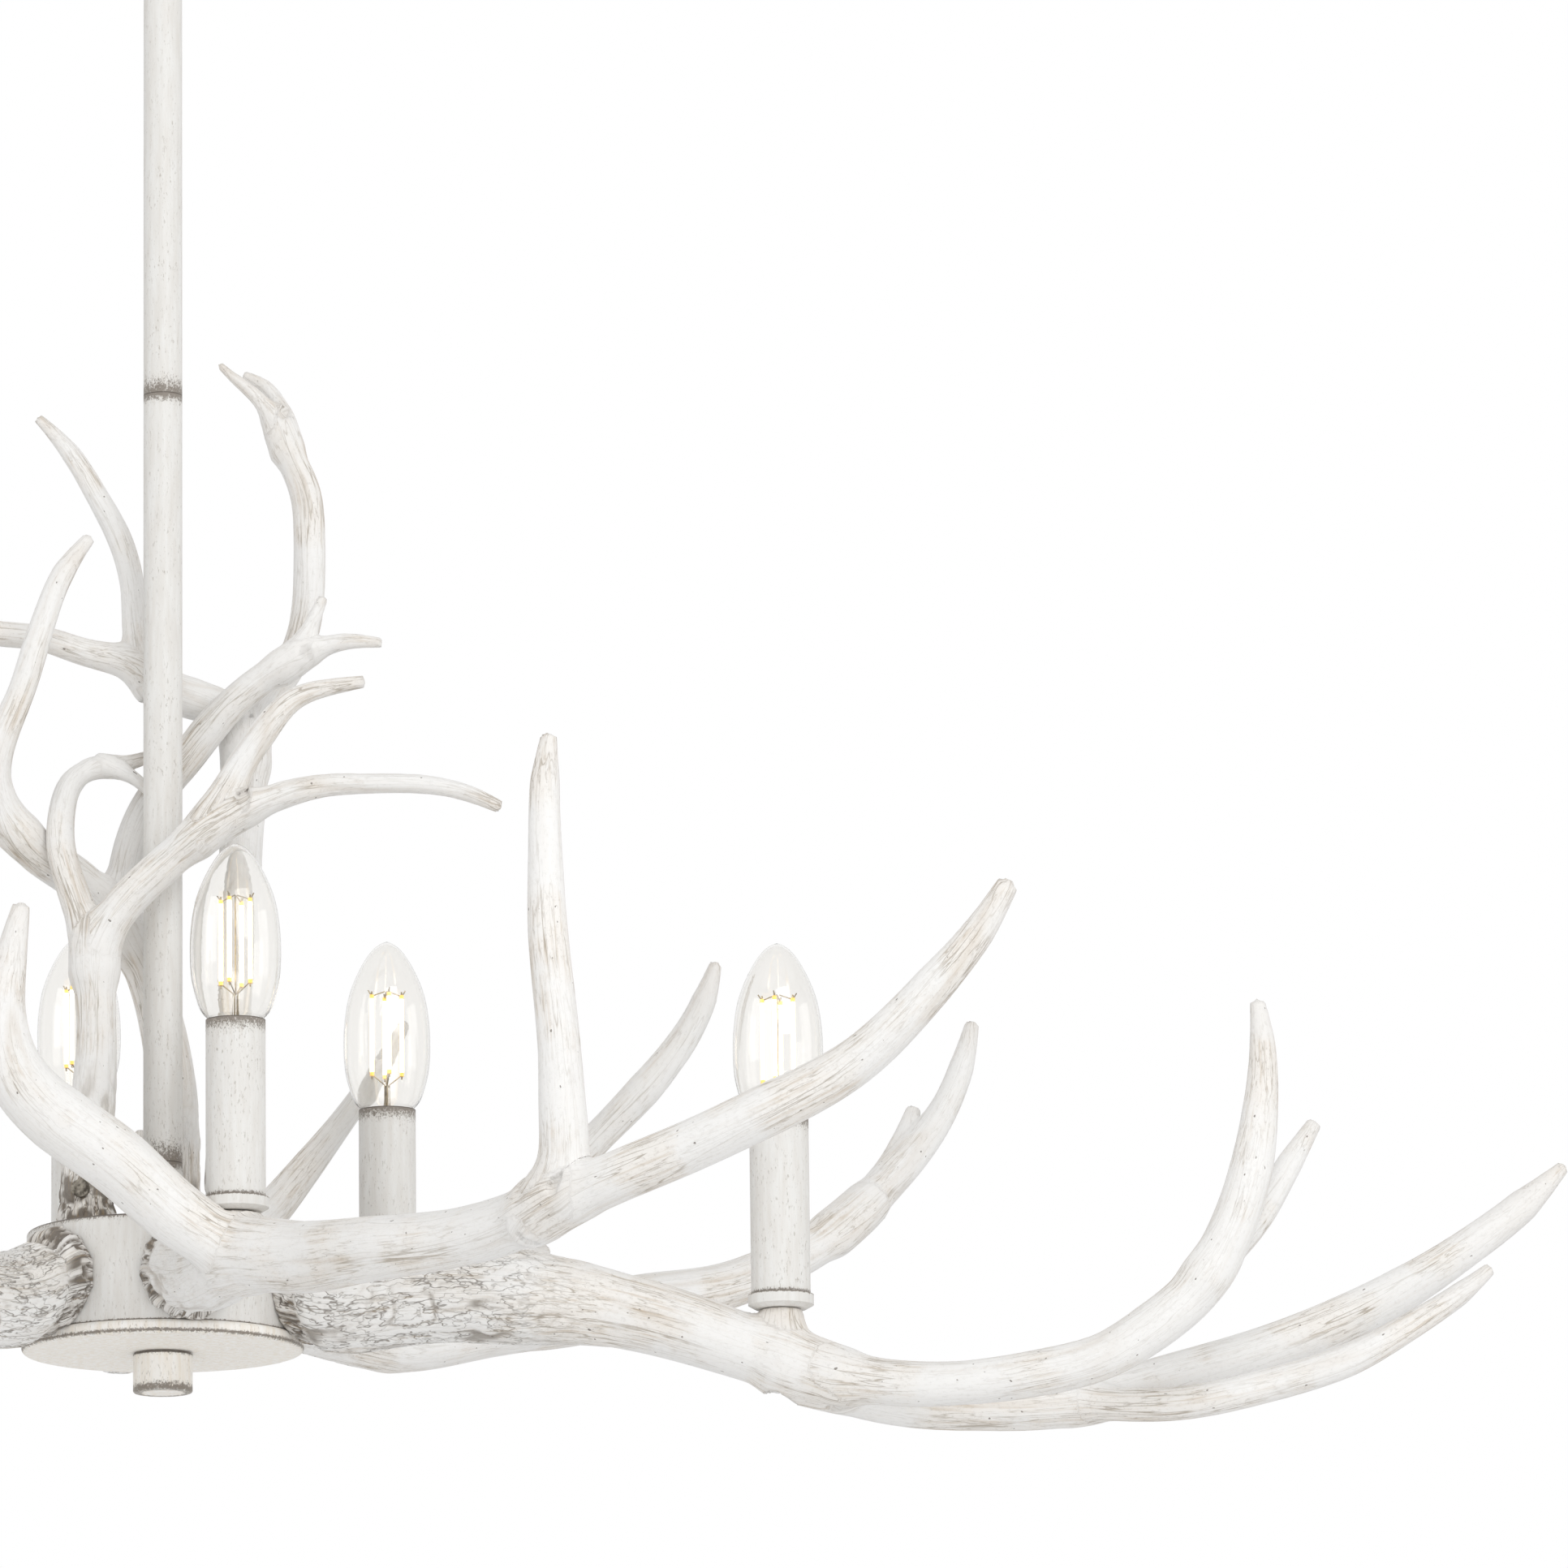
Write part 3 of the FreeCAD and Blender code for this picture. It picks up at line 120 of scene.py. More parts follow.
BACK_UPPER_PATTERN = {
    "trunk": [(0, 0, -4, 23), (0, 0, 0, 23), (1, 0, 30, 22), (1, 0, 59, 20), (-3, -2, 88, 18),
              (-10, -4, 110, 16), (-20, -7, 129, 16), (-25, -9, 137, 15)],
    "left_branch": [(-16, -6, 122, 14), (-36, -13, 145, 17), (-52, -21, 155, 17), (-63, -29, 166, 15),
                    (-69, -37, 182, 12), (-66, -41, 199, 12), (-59, -43, 216, 11), (-54, -44, 232, 11),
                    (-49, -44, 248, 10), (-42, -43, 265, 9), (-32, -42, 279, 5)],
    "outer_branch": [(-60, -27, 162, 13), (-81, -27, 176, 12), (-97, -23, 194, 9), (-109, -19, 218, 7),
                     (-115, -17, 238, 4)],
    "right_branch": [(-20, -7, 131, 14), (-16, -6, 159, 14), (-7, -6, 180, 14), (6, -11, 195, 14),
                     (16, -16, 207, 14), (26, -20, 217, 13), (39, -24, 227, 12), (53, -27, 235, 10)],
    "right_long_tip": [(46, -25, 231, 10), (68, -30, 239, 7), (84, -34, 238, 4)],
    "right_short_tip": [(47, -25, 230, 8), (57, -29, 248, 6), (61, -31, 257, 4)],
}
TALL_UPPER_PATTERN = {
    "trunk": [(0, 0, -4, 23), (0, 0, 0, 23), (0, 2, 21, 21), (1, 8, 55, 19), (1, 16, 88, 17),
              (3, 26, 123, 17), (4, 36, 159, 17), (6, 45, 191, 17), (6, 50, 209, 16)],
    "right_branch": [(6, 46, 194, 14), (13, 54, 220, 13), (22, 57, 234, 13), (29, 59, 250, 13),
                     (32, 61, 276, 13), (32, 62, 293, 13), (30, 63, 311, 13), (24, 63, 326, 12),
                     (20, 63, 339, 10)],
    "near_tip": [(22, 63, 330, 9), (12, 61, 348, 6), (3, 60, 356, 5), (-4, 59, 362, 3)],
    "far_tip": [(22, 63, 330, 9), (20, 68, 347, 7), (14, 71, 356, 6), (6, 73, 361, 4)],
    "left_branch": [(6, 46, 196, 14), (-4, 52, 218, 16), (-16, 53, 223, 17), (-29, 53, 229, 16),
                    (-39, 52, 236, 14), (-57, 51, 241, 11), (-77, 50, 247, 10), (-96, 49, 249, 10),
                    (-112, 47, 255, 7), (-125, 45, 264, 4)],
    "left_high_tip": [(-31, 53, 227, 14), (-37, 53, 248, 12), (-39, 52, 268, 10), (-45, 50, 289, 10),
                      (-54, 48, 306, 9), (-64, 46, 322, 8), (-77, 44, 336, 4)],
}
LOWER = [INNER_PATTERN, OUTER_PATTERN, REAR_INNER_PATTERN, REAR_OUTER_PATTERN,
         INNER_PATTERN, OUTER_PATTERN]
UPPER = [LEFT_UPPER_PATTERN, TALL_UPPER_PATTERN, BACK_UPPER_PATTERN]
DRUM_RADIUS = 53.5
BURR_Z = -730.0
HUB_TOP = -707.0
FIRST_AZIMUTH = 10.7
FOOT_RING = 33.0
FOOT_AZIMUTH = 295.0
REAR_SWING = -2.6
# how far from its root a limb has bark, in metres, and how dark it is
INNER_BARK = (0.080, 0.35)
OUTER_BARK = (0.165, 0.8)
UPPER_BARK = (0.085, 0.4)

# ------------------------------------------------------------------ properties


class AntlerSettings(bpy.types.PropertyGroup):
    grid: bpy.props.FloatProperty(
        name="Surface Grid", description="Spacing of the surface's points", default=0.0013,
        unit="LENGTH")
    web: bpy.props.FloatProperty(
        name="Fork Web", description="Width over which two limbs flow together", default=0.007,
        unit="LENGTH")
    furrow: bpy.props.FloatProperty(
        name="Furrow Depth", description="Depth of the long lines on the tines", default=0.0004,
        unit="LENGTH")
    bark: bpy.props.FloatProperty(
        name="Bark Depth", description="Depth of the cracks near the burr", default=0.0012,
        unit="LENGTH")
    white: bpy.props.StringProperty(
        name="White", description="Dry white coat", default="#E9E8E6")
    glaze: bpy.props.StringProperty(
        name="Glaze", description="Tan wash left in the lines", default="#B09A7C")
    shade: bpy.props.StringProperty(
        name="Shade", description="Grey-brown in the bark", default="#6A6259")


class PaintSettings(bpy.types.PropertyGroup):
    white: bpy.props.StringProperty(
        name="White", description="Brushed white coat", default="#DEDDDA")
    glaze: bpy.props.StringProperty(
        name="Glaze", description="Specks along the grain", default="#A89B8A")
    shade: bpy.props.StringProperty(
        name="Shade", description="Worn grey-brown at ends", default="#6B6156")
    worn: bpy.props.StringProperty(
        name="Worn White", description="White where the brush ran dry", default="#D5D2CD")
    # a whiter copy of the coat and of its brushed-thin white for the parts under the hub: painted
    # light on undersides that face down into shade
    underside_painted_light_white: bpy.props.StringProperty(
        name="Low White", description="Fresher coat under the hub", default="#F4F2EE")
    underside_painted_light_worn: bpy.props.StringProperty(
        name="Low Worn White", description="The same, brushed thin", default="#E9E1D4")
    zinc: bpy.props.StringProperty(
        name="Zinc", description="Plated fixings", default="#B9BABC")


class BulbSettings(bpy.types.PropertyGroup):
    glow: bpy.props.FloatProperty(
        name="Glow", description="Strength of the glowing rods", default=3.2)
    warm: bpy.props.StringProperty(
        name="Warm White", description="Colour of the glow", default="#FFE3AE")
    rod: bpy.props.FloatProperty(
        name="Rod Radius", description="Radius of a glowing rod", default=0.00095, unit="LENGTH")
    rod_low: bpy.props.FloatProperty(
        name="Rod Foot", description="Foot of the rods over the sleeve's rim", default=0.0157,
        unit="LENGTH")
    rod_length: bpy.props.FloatProperty(
        name="Rod Length", description="Length of a glowing rod", default=0.030, unit="LENGTH")
    ring: bpy.props.FloatProperty(
        name="Rod Ring", description="Radius on which the rods stand", default=0.0061, unit="LENGTH")
    wire: bpy.props.FloatProperty(
        name="Wire Radius", description="Radius of the support wires", default=0.00025, unit="LENGTH")


class StageSettings(bpy.types.PropertyGroup):
    floor: bpy.props.StringProperty(
        name="Floor", description="Pale floor", default="#F4F4F4")
    floor_z: bpy.props.FloatProperty(
        name="Floor Height", description="Height of the floor", default=-1.9, unit="LENGTH")
    key: bpy.props.FloatProperty(
        name="Key", description="Power of the broad lamp in front", default=29.6, unit="POWER")
    fill: bpy.props.FloatProperty(
        name="Sky", description="Strength of the even light", default=0.68)
    lens: bpy.props.FloatProperty(
        name="Lens", description="Focal length on a 36 mm frame", default=235.5)


# ------------------------------------------------------------------ small helpers


def deselect():
    bpy.ops.object.select_all(action="DESELECT")


def activate(obj):
    deselect()
    obj.select_set(True)
    bpy.context.view_layer.objects.active = obj


def hex_colour(text):
    """sRGB hex to the linear colour that a shader takes."""
    values = [int(text[i:i + 2], 16) / 255 for i in (1, 3, 5)]
    return [v / 12.92 if v <= 0.04045 else ((v + 0.055) / 1.055) ** 2.4 for v in values] + [1.0]


def add(tree, kind, *sources, stops=(), **settings):
    """Add a node with its settings and links. Sources fill the inputs that it shows, in order. A
    setting with a capital is an input by name, and any other is the node's own property. A source
    is an output, a node (then its first shown output), a number, a vector or a hex colour. Stops
    are a colour ramp's (place, grey or hex colour)."""
    node = tree.nodes.new("ShaderNode" + kind)
    inputs = []
    for name, value in settings.items():
        if name[0].isupper():
            inputs.append((node.inputs[name.replace("_", " ")], value))
        else:
            setattr(node, name, value)
    inputs += zip([socket for socket in node.inputs if socket.enabled], sources)
    for socket, value in inputs:
        if isinstance(value, bpy.types.Node):
            value = next(output for output in value.outputs if output.enabled)
        if isinstance(value, bpy.types.NodeSocket):
            tree.links.new(value, socket)
        else:
            socket.default_value = hex_colour(value) if isinstance(value, str) else value
    for number, (place, value) in enumerate(stops):
        points = node.color_ramp.elements
        point = points[number] if number < len(points) else points.new(place)
        point.position = place
        point.color = hex_colour(value) if isinstance(value, str) else (value, value, value, 1)
    return node


def pattern(tree, coords, size_mm, stretch=(1, 1, 1), detail=3.0, rough=0.55, offset=(0, 0, 0)):
    """Noise whose grain is about size_mm across; stretch lengthens it along an axis."""
    squeezed = add(tree, "Mapping", coords, Location=offset, Scale=[1.0 / s for s in stretch])
    return add(tree, "TexNoise", squeezed, Scale=1.0 / (size_mm * MM), Detail=detail, Roughness=rough)


def near(tree, value, level, reach):
    """1 where a value is at a level, falling to 0 where it is reach away."""
    away = add(tree, "Math", value, level, operation="SUBTRACT")
    away = add(tree, "Math", away, operation="ABSOLUTE")
    away = add(tree, "Math", away, reach, operation="DIVIDE")
    return add(tree, "Math", 1.0, away, operation="SUBTRACT", use_clamp=True)


def creases(tree, coords, size_mm, stretch, width, detail=4.0, rough=0.6, offset=(0, 0, 0)):
    """Thin wandering lines, as cracks in a dry coat run: 1 on a line and 0 away from it."""
    return near(tree, pattern(tree, coords, size_mm, stretch, detail, rough, offset), 0.5, width)


def new_material(name):
    """A material with an empty tree."""
    material = bpy.data.materials.new(name)
    material.use_nodes = True
    material.node_tree.nodes.clear()
    return material, material.node_tree


def finish_with(obj, material):
    obj.data.materials.clear()
    obj.data.materials.append(material)


# ------------------------------------------------------------------ materials

# coats and washes that no setting changes
BRUSHED_THIN = "#E6E1DA"
GRIT_GREY = "#8F8475"
CRACK_BROWN = "#83735A"
BARK_TAN = "#857359"
SPECK_GREY = "#867A6B"
SEAM_BROWN = "#4A423A"


def cast_antler_paint(settings):
    """Cast resin, painted dry white over a tan and grey-brown wash: matt, with thin lines of the
    wash along each limb, grey specks, and grey-brown left only in the bark's cracks and the burr."""
    material, tree = new_material("dry_brushed_white_on_cast_resin")
    grain = add(tree, "Attribute", attribute_name="grain").outputs["Vector"]
    glaze = add(tree, "Attribute", attribute_name="glaze").outputs["Fac"]
    bark = add(tree, "Attribute", attribute_name="bark").outputs["Fac"]
    place = add(tree, "TexCoord").outputs["Object"]
    # patches 30 mm across where the wash stayed
    cloud = pattern(tree, place, 34, detail=4.0)
    patches = add(tree, "ValToRGB", cloud, stops=[(0.47, 0.0), (0.62, 1.0)])
    held = add(tree, "Math", patches, 0.6, operation="MULTIPLY")
    # fibres of wash 0.6 mm wide and 20 to 40 mm long
    fibre = pattern(tree, grain, 1.7, (1, 1, 22), 3.5, 0.66)
    streaks = add(tree, "ValToRGB", fibre, stops=[(0.52, 0.0), (0.68, 1.0)])
    # cracks 0.3 mm wide and 100 mm long, and scratches 0.2 mm wide and 30 mm long that lie closer
    cracks = creases(tree, grain, 9, (1, 1, 24), 0.009, 3.5, 0.55)
    scratches = creases(tree, grain, 3.6, (1, 1, 16), 0.018, 3.0, 0.6, (0.3, 0.1, 0))
    # grit 0.4 mm across, and rare dark pits
    sand = pattern(tree, grain, 1.0, (1, 1, 1.8), 4.0, 0.8)
    grit = add(tree, "ValToRGB", sand, stops=[(0.54, 0.0), (0.66, 1.0)])
    holes = pattern(tree, grain, 1.3, (1, 1, 1.6), 0.0)
    pits = add(tree, "ValToRGB", holes, stops=[(0.835, 0.0), (0.86, 1.0)])
    # tan wash in the fibres, thicker in the patches, and in the relief's grooves
    thick = add(tree, "Math", held, 0.62, operation="MULTIPLY")
    thick = add(tree, "Math", thick, 0.07, operation="ADD")
    wash = add(tree, "Math", streaks, thick, operation="MULTIPLY")
    grooves = add(tree, "Math", glaze, 0.42, operation="MULTIPLY")
    wash = add(tree, "Math", wash, grooves, operation="ADD", use_clamp=True)
    base = add(tree, "Mix", held, settings.white, BRUSHED_THIN, data_type="RGBA")
    colour = add(tree, "Mix", wash, base, settings.glaze, data_type="RGBA")
    # grey grit
    amount = add(tree, "Math", patches, 0.16, operation="MULTIPLY")
    amount = add(tree, "Math", amount, 0.10, operation="ADD")
    amount = add(tree, "Math", grit, amount, operation="MULTIPLY")
    colour = add(tree, "Mix", amount, colour, GRIT_GREY, data_type="RGBA")
    # brown cracks and scratches
    amount = add(tree, "Math", patches, 0.38, operation="ADD")
    line = add(tree, "Math", cracks, amount, operation="MULTIPLY", use_clamp=True)
    amount = add(tree, "Math", held, 0.22, operation="ADD")
    amount = add(tree, "Math", scratches, amount, operation="MULTIPLY")
    line = add(tree, "Math", line, amount, operation="MAXIMUM")
    amount = add(tree, "Math", line, 0.56, operation="MULTIPLY")
    colour = add(tree, "Mix", amount, colour, CRACK_BROWN, data_type="RGBA")
    amount = add(tree, "Math", pits, 0.8, operation="MULTIPLY")
    colour = add(tree, "Mix", amount, colour, settings.shade, data_type="RGBA")
    # cracks 0.6 mm wide round the bark's scales and the burr's ridges
    large = creases(tree, grain, 6.5, (1, 1, 3), 0.030, 3.0, 0.6)
    small = creases(tree, grain, 3.2, (1, 1, 2.4), 0.035, 2.0, 0.5)
    small = add(tree, "Math", small, 0.7, operation="MULTIPLY")
    split = add(tree, "Math", large, small, operation="MAXIMUM")
    deep = add(tree, "Math", bark, 0.85, operation="MULTIPLY")
    deep = add(tree, "Math", split, deep, operation="MULTIPLY")
    deep = add(tree, "Math", glaze, deep, operation="MAXIMUM")
    deep = add(tree, "ValToRGB", deep, stops=[(0.18, 0.0), (0.60, 1.0)])
    amount = add(tree, "Math", bark, 0.95, operation="MULTIPLY")
    deep = add(tree, "Math", deep, amount, operation="MULTIPLY")
    dark = add(tree, "Mix", streaks, settings.shade, BARK_TAN, data_type="RGBA")
    colour = add(tree, "Mix", deep, colour, dark, data_type="RGBA")
    # the wash dries rougher than the white, grit stands up and cracks lie low
    rough = add(tree, "ValToRGB", wash, stops=[(0.0, 0.6), (1.0, 0.8)])
    high = add(tree, "Math", grit, 0.25, operation="MULTIPLY")
    low = add(tree, "Math", line, 0.6, operation="MULTIPLY")
    relief = add(tree, "Math", high, low, operation="SUBTRACT")
    low = add(tree, "Math", bark, 1.6, operation="MULTIPLY")
    low = add(tree, "Math", split, low, operation="MULTIPLY")
    relief = add(tree, "Math", relief, low, operation="SUBTRACT")
    bump = add(tree, "Bump", Height=relief, Strength=0.5, Distance=0.0004)
    add(tree, "OutputMaterial",
        add(tree, "BsdfPrincipled", Base_Color=colour, Roughness=rough, Normal=bump))
    return material


def worn_steel_paint(node, settings, bands, seams=(), strength=1.0, coat=None):
    """Steel under a brushed white coat with fine grey specks along the stem. Bands are rings where
    the coat is rubbed through in speckles, and seams are rings where dark wash sits. Flat faces
    stay white inside the outer 5 mm."""
    material, tree = new_material("brushed_white_on_" + node)
    place = add(tree, "TexCoord").outputs["Object"]
    low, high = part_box(node)
    centre = [-(low[0] + high[0]) / 2, -(low[1] + high[1]) / 2, 0]
    flat = add(tree, "Mapping", place, Location=centre, Scale=(1, 1, 0))
    across = add(tree, "VectorMath", flat, operation="LENGTH")
    rim = add(tree, "Math", across, (high[0] - low[0]) / 2 - 0.0055, operation="SUBTRACT")
    rim = add(tree, "Math", rim, 0.003, operation="DIVIDE", use_clamp=True)
    # specks 0.3 mm wide and 1 mm long, thicker in clouds 20 mm across
    specks = pattern(tree, place, 0.8, (1, 1, 3.2), 3.0, 0.65)
    clouds = add(tree, "ValToRGB", pattern(tree, place, 20), stops=[(0.38, 0.30), (0.64, 1.0)])
    dots = add(tree, "ValToRGB", specks, stops=[(0.585, 0.0), (0.69, 1.0)])
    wash = add(tree, "Math", dots, clouds, operation="MULTIPLY")
    wash = add(tree, "Math", wash, 0.50 * strength, operation="MULTIPLY")
    # faint brush marks 1 mm wide and 12 mm long
    hairs = pattern(tree, place, 2.4, (1, 1, 9), 3.0)
    brushed = add(tree, "ValToRGB", hairs, stops=[(0.35, 0.0), (0.70, 1.0)])
    # a coat given here replaces the two whites; the parts under the hub get the whiter pair, which is
    # painted light
    full, thin = coat or (settings.white, settings.worn)
    colour = add(tree, "Mix", brushed, full, thin, data_type="RGBA")
    colour = add(tree, "Mix", wash, colour, SPECK_GREY, data_type="RGBA")
    height = add(tree, "SeparateXYZ", place).outputs["Z"]
    # grit 0.4 mm across, at which the coat is rubbed through
    grit = pattern(tree, place, 0.9, (1, 1, 1.3), 4.0, 0.8)
    for end, shift, reach in bands:
        ring = near(tree, height, (low, high)[end][2] + shift, reach)
        ring = add(tree, "Math", ring, rim, operation="MULTIPLY")
        rubbed = add(tree, "Math", ring, 0.42, operation="MULTIPLY")
        rubbed = add(tree, "Math", rubbed, grit, operation="ADD")
        rubbed = add(tree, "Math", rubbed, 0.70, operation="SUBTRACT")
        rubbed = add(tree, "Math", rubbed, 8.0, operation="MULTIPLY", use_clamp=True)
        rubbed = add(tree, "Math", rubbed, 0.85, operation="MULTIPLY")
        tan = add(tree, "Math", ring, ring, operation="MULTIPLY")
        tan = add(tree, "Math", tan, 0.30, operation="MULTIPLY")
        colour = add(tree, "Mix", tan, colour, settings.glaze, data_type="RGBA")
        colour = add(tree, "Mix", rubbed, colour, settings.shade, data_type="RGBA")
    for end, shift, half in seams:
        seam = near(tree, height, (low, high)[end][2] + shift, half)
        seam = add(tree, "Math", seam, 3.0, operation="MULTIPLY", use_clamp=True)
        seam = add(tree, "Math", seam, 0.8, operation="MULTIPLY")
        seam = add(tree, "Math", seam, rim, operation="MULTIPLY")
        colour = add(tree, "Mix", seam, colour, SEAM_BROWN, data_type="RGBA")
    bump = add(tree, "Bump", Height=specks, Strength=0.22, Distance=0.0004)
    add(tree, "OutputMaterial",
        add(tree, "BsdfPrincipled", Base_Color=colour, Roughness=0.5, Normal=bump))
    return material


def zinc_plate(settings):
    """Bright zinc on turned steel: grey metal with fine turning lines."""
    material, tree = new_material("zinc_plated_steel")
    place = add(tree, "TexCoord").outputs["Object"]
    # turning lines 0.8 mm apart, coarser than the real ones so that they show
    lines = pattern(tree, place, 0.8, (4, 4, 1), 2.0)
    tone = add(tree, "ValToRGB", lines, stops=[(0.3, "#9D9EA0"), (0.7, settings.zinc)])
    polish = add(tree, "ValToRGB", lines, stops=[(0.2, 0.28), (0.8, 0.46)])
    add(tree, "OutputMaterial",
        add(tree, "BsdfPrincipled", Base_Color=tone, Metallic=1.0, Roughness=polish))
    return material


def antique_steel():
    """Blackened steel, rubbed lighter in patches."""
    material, tree = new_material("antique_blackened_steel")
    place = add(tree, "TexCoord").outputs["Object"]
    # rubbed patches 2 mm across
    rubbing = pattern(tree, place, 2.2, detail=4.0)
    tone = add(tree, "ValToRGB", rubbing, stops=[(0.38, "#4B463F"), (0.66, "#9A9489")])
    add(tree, "OutputMaterial",
        add(tree, "BsdfPrincipled", Base_Color=tone, Metallic=1.0, Roughness=0.5))
    return material


def moulded(name, light, dark, roughness):
    """Moulded plastic: one colour with a faint mottle and a fine spark texture."""
    material, tree = new_material(name)
    place = add(tree, "TexCoord").outputs["Object"]
    # mottle 2 mm across, coarser than a spark texture's so that it shows
    mottle = pattern(tree, place, 2.0)
    tone = add(tree, "ValToRGB", mottle, stops=[(0.35, dark), (0.65, light)])
    bump = add(tree, "Bump", Height=mottle, Strength=0.1, Distance=0.0003)
    add(tree, "OutputMaterial",
        add(tree, "BsdfPrincipled", Base_Color=tone, Roughness=roughness, Normal=bump))
    return material


def blown_glass():
    """Soda-lime glass, blown thin and clear, not quite even in polish, with a painted shade at its
    outline:
    the colour turns grey where the wall is seen along its length."""
    material, tree = new_material("clear_blown_glass")
    place = add(tree, "TexCoord").outputs["Object"]
    # painted shade: the colour turns grey towards the outline, where the glass is seen edge-on
    edge = add(tree, "LayerWeight", Blend=0.5).outputs["Facing"]
    tone = add(tree, "ValToRGB", edge,
               stops=[(0.0, "#FAF9F7"), (0.66, "#F5F4F2"), (0.86, "#D3D0CB"), (1.0, "#79746C")])
    # polish that changes over 14 mm
    wave = pattern(tree, place, 14, (1, 1, 2), 1.0)
    polish = add(tree, "ValToRGB", wave, stops=[(0.3, 0.0), (0.7, 0.012)])
    add(tree, "OutputMaterial",
        add(tree, "BsdfPrincipled", Base_Color=tone, Transmission_Weight=1.0, IOR=1.45,
            Roughness=polish))
    return material


def glowing_rod(name, settings, core, glow):
    """Phosphor in clear silicone, lit: it burns white down the middle and amber at its rim."""
    material, tree = new_material(name)
    place = add(tree, "TexCoord").outputs["Object"]
    edge = add(tree, "LayerWeight", Blend=0.5).outputs["Facing"]
    # phosphor grains 1 mm across
    grain = add(tree, "Math", pattern(tree, place, 1.2, detail=1.0), 0.5, operation="SUBTRACT")
    grain = add(tree, "Math", grain, 0.3, operation="MULTIPLY")
    depth = add(tree, "Math", edge, grain, operation="ADD")
    tone = add(tree, "ValToRGB", depth,
               stops=[(0.30, core), (0.62, settings.warm), (0.95, "#E8B95A")])
    power = add(tree, "ValToRGB", edge, stops=[(0.25, 1.0), (0.9, 0.25)])
    power = add(tree, "Math", power, glow, operation="MULTIPLY")
    add(tree, "OutputMaterial",
        add(tree, "BsdfPrincipled", Base_Color=tone, Emission_Color=tone, Emission_Strength=power,
            Roughness=0.6))
    return material


def nickel_wire():
    """Drawn nickel wire and clips, grey with a warm cast."""
    material, tree = new_material("drawn_nickel_wire")
    place = add(tree, "TexCoord").outputs["Object"]
    # drawing marks 1.5 mm apart
    marks = pattern(tree, place, 1.5)
    tone = add(tree, "ValToRGB", marks, stops=[(0.3, "#8E8270"), (0.7, "#C9B998")])
    add(tree, "OutputMaterial",
        add(tree, "BsdfPrincipled", Base_Color=tone, Metallic=1.0, Roughness=0.35))
    return material


# ------------------------------------------------------------------ antlers


# measures on an antler's skin, in metres
LIMB_STEP = 0.0025  # between the samples of a limb's middle line
LIMB_BLEND = 0.0022  # over which two limbs share a fork
HOLE_DEPTH = 0.0032  # under the skin, past which lies a hole's wall
SKIN_REACH = 0.006  # from the limbs, past which nothing is moved
SKIN_MOVE = (-0.0025, 0.0015)  # the most that the skin moves out and in
BURR_RADIUS = 0.020  # of the ring on which the burr's ridges lie
BURR_RIM = (0.0095, 0.0125)  # from the seat, over which those ridges fade
BURR_TO_LIMB = (0.0102, 0.0150)  # from the seat, over which the skin becomes free to move
BURR_START = (0.0012, 0.0030)  # from the seat, over which the ridges rise
RIDGE, RIDGE_CRACK = 0.0008, 0.0011  # height and depth of the relief on the burr
SKIN_START = (0.0, 0.0015)  # from the seat, over which any relief rises
FOOT_END = (0.016, 0.036)  # from the hub's top, over which an upper trunk's mottle fades
TIP_MARGIN = 0.0002  # short of a limb's end, past which its round tip is left alone
SEAT_RADIUS, SEAT_DEPTH = 0.0115, 0.0022  # of the flat on a boss, under the cup
BORE_RADIUS, BORE_DEPTH = 0.0062, 0.002  # of the hole in a boss, for the candle's nipple
# uneven numbers that scatter the noise's lattice, and how many points are measured at a time
SCATTER = np.array((12.9898, 78.233, 37.719))
SCATTER_SEED, SCATTER_GAIN = 17.13, 43758.5453
BATCH = 8000


def heading(azimuth):
    a = math.radians(azimuth)
    return np.array((math.sin(a), -math.cos(a), 0.0))


def sideways(azimuth):
    a = math.radians(azimuth)
    return np.array((math.cos(a), math.sin(a), 0.0))


def lower_limbs(number):
    """Middle lines of a lower antler in the chandelier's frame, in metres."""
    pattern_set = LOWER[number]
    azimuth = FIRST_AZIMUTH + 60 * number
    swing = math.radians(REAR_SWING if pattern_set is REAR_OUTER_PATTERN else 0.0)
    face = heading(azimuth) * DRUM_RADIUS + np.array((0, 0, BURR_Z))
    limbs = {}
    for name, stations in pattern_set.items():
        rows = []
        for out, side, up, thick in stations:
            if out > 0:
                out, side = (out * math.cos(swing) - side * math.sin(swing),
                             out * math.sin(swing) + side * math.cos(swing))
            spot = face + heading(azimuth) * out + sideways(azimuth) * side + np.array((0, 0, up))
            rows.append(list(spot * MM) + [thick * MM / 2])
        limbs[name] = np.array(rows)
    return limbs


def upper_limbs(number):
    foot = heading(FOOT_AZIMUTH + 120 * number) * FOOT_RING + np.array((0, 0, HUB_TOP))
    limbs = {}
    for name, stations in UPPER[number].items():
        limbs[name] = np.array([list((foot + np.array(s[:3])) * MM) + [s[3] * MM / 2]
                                for s in stations])
    return limbs


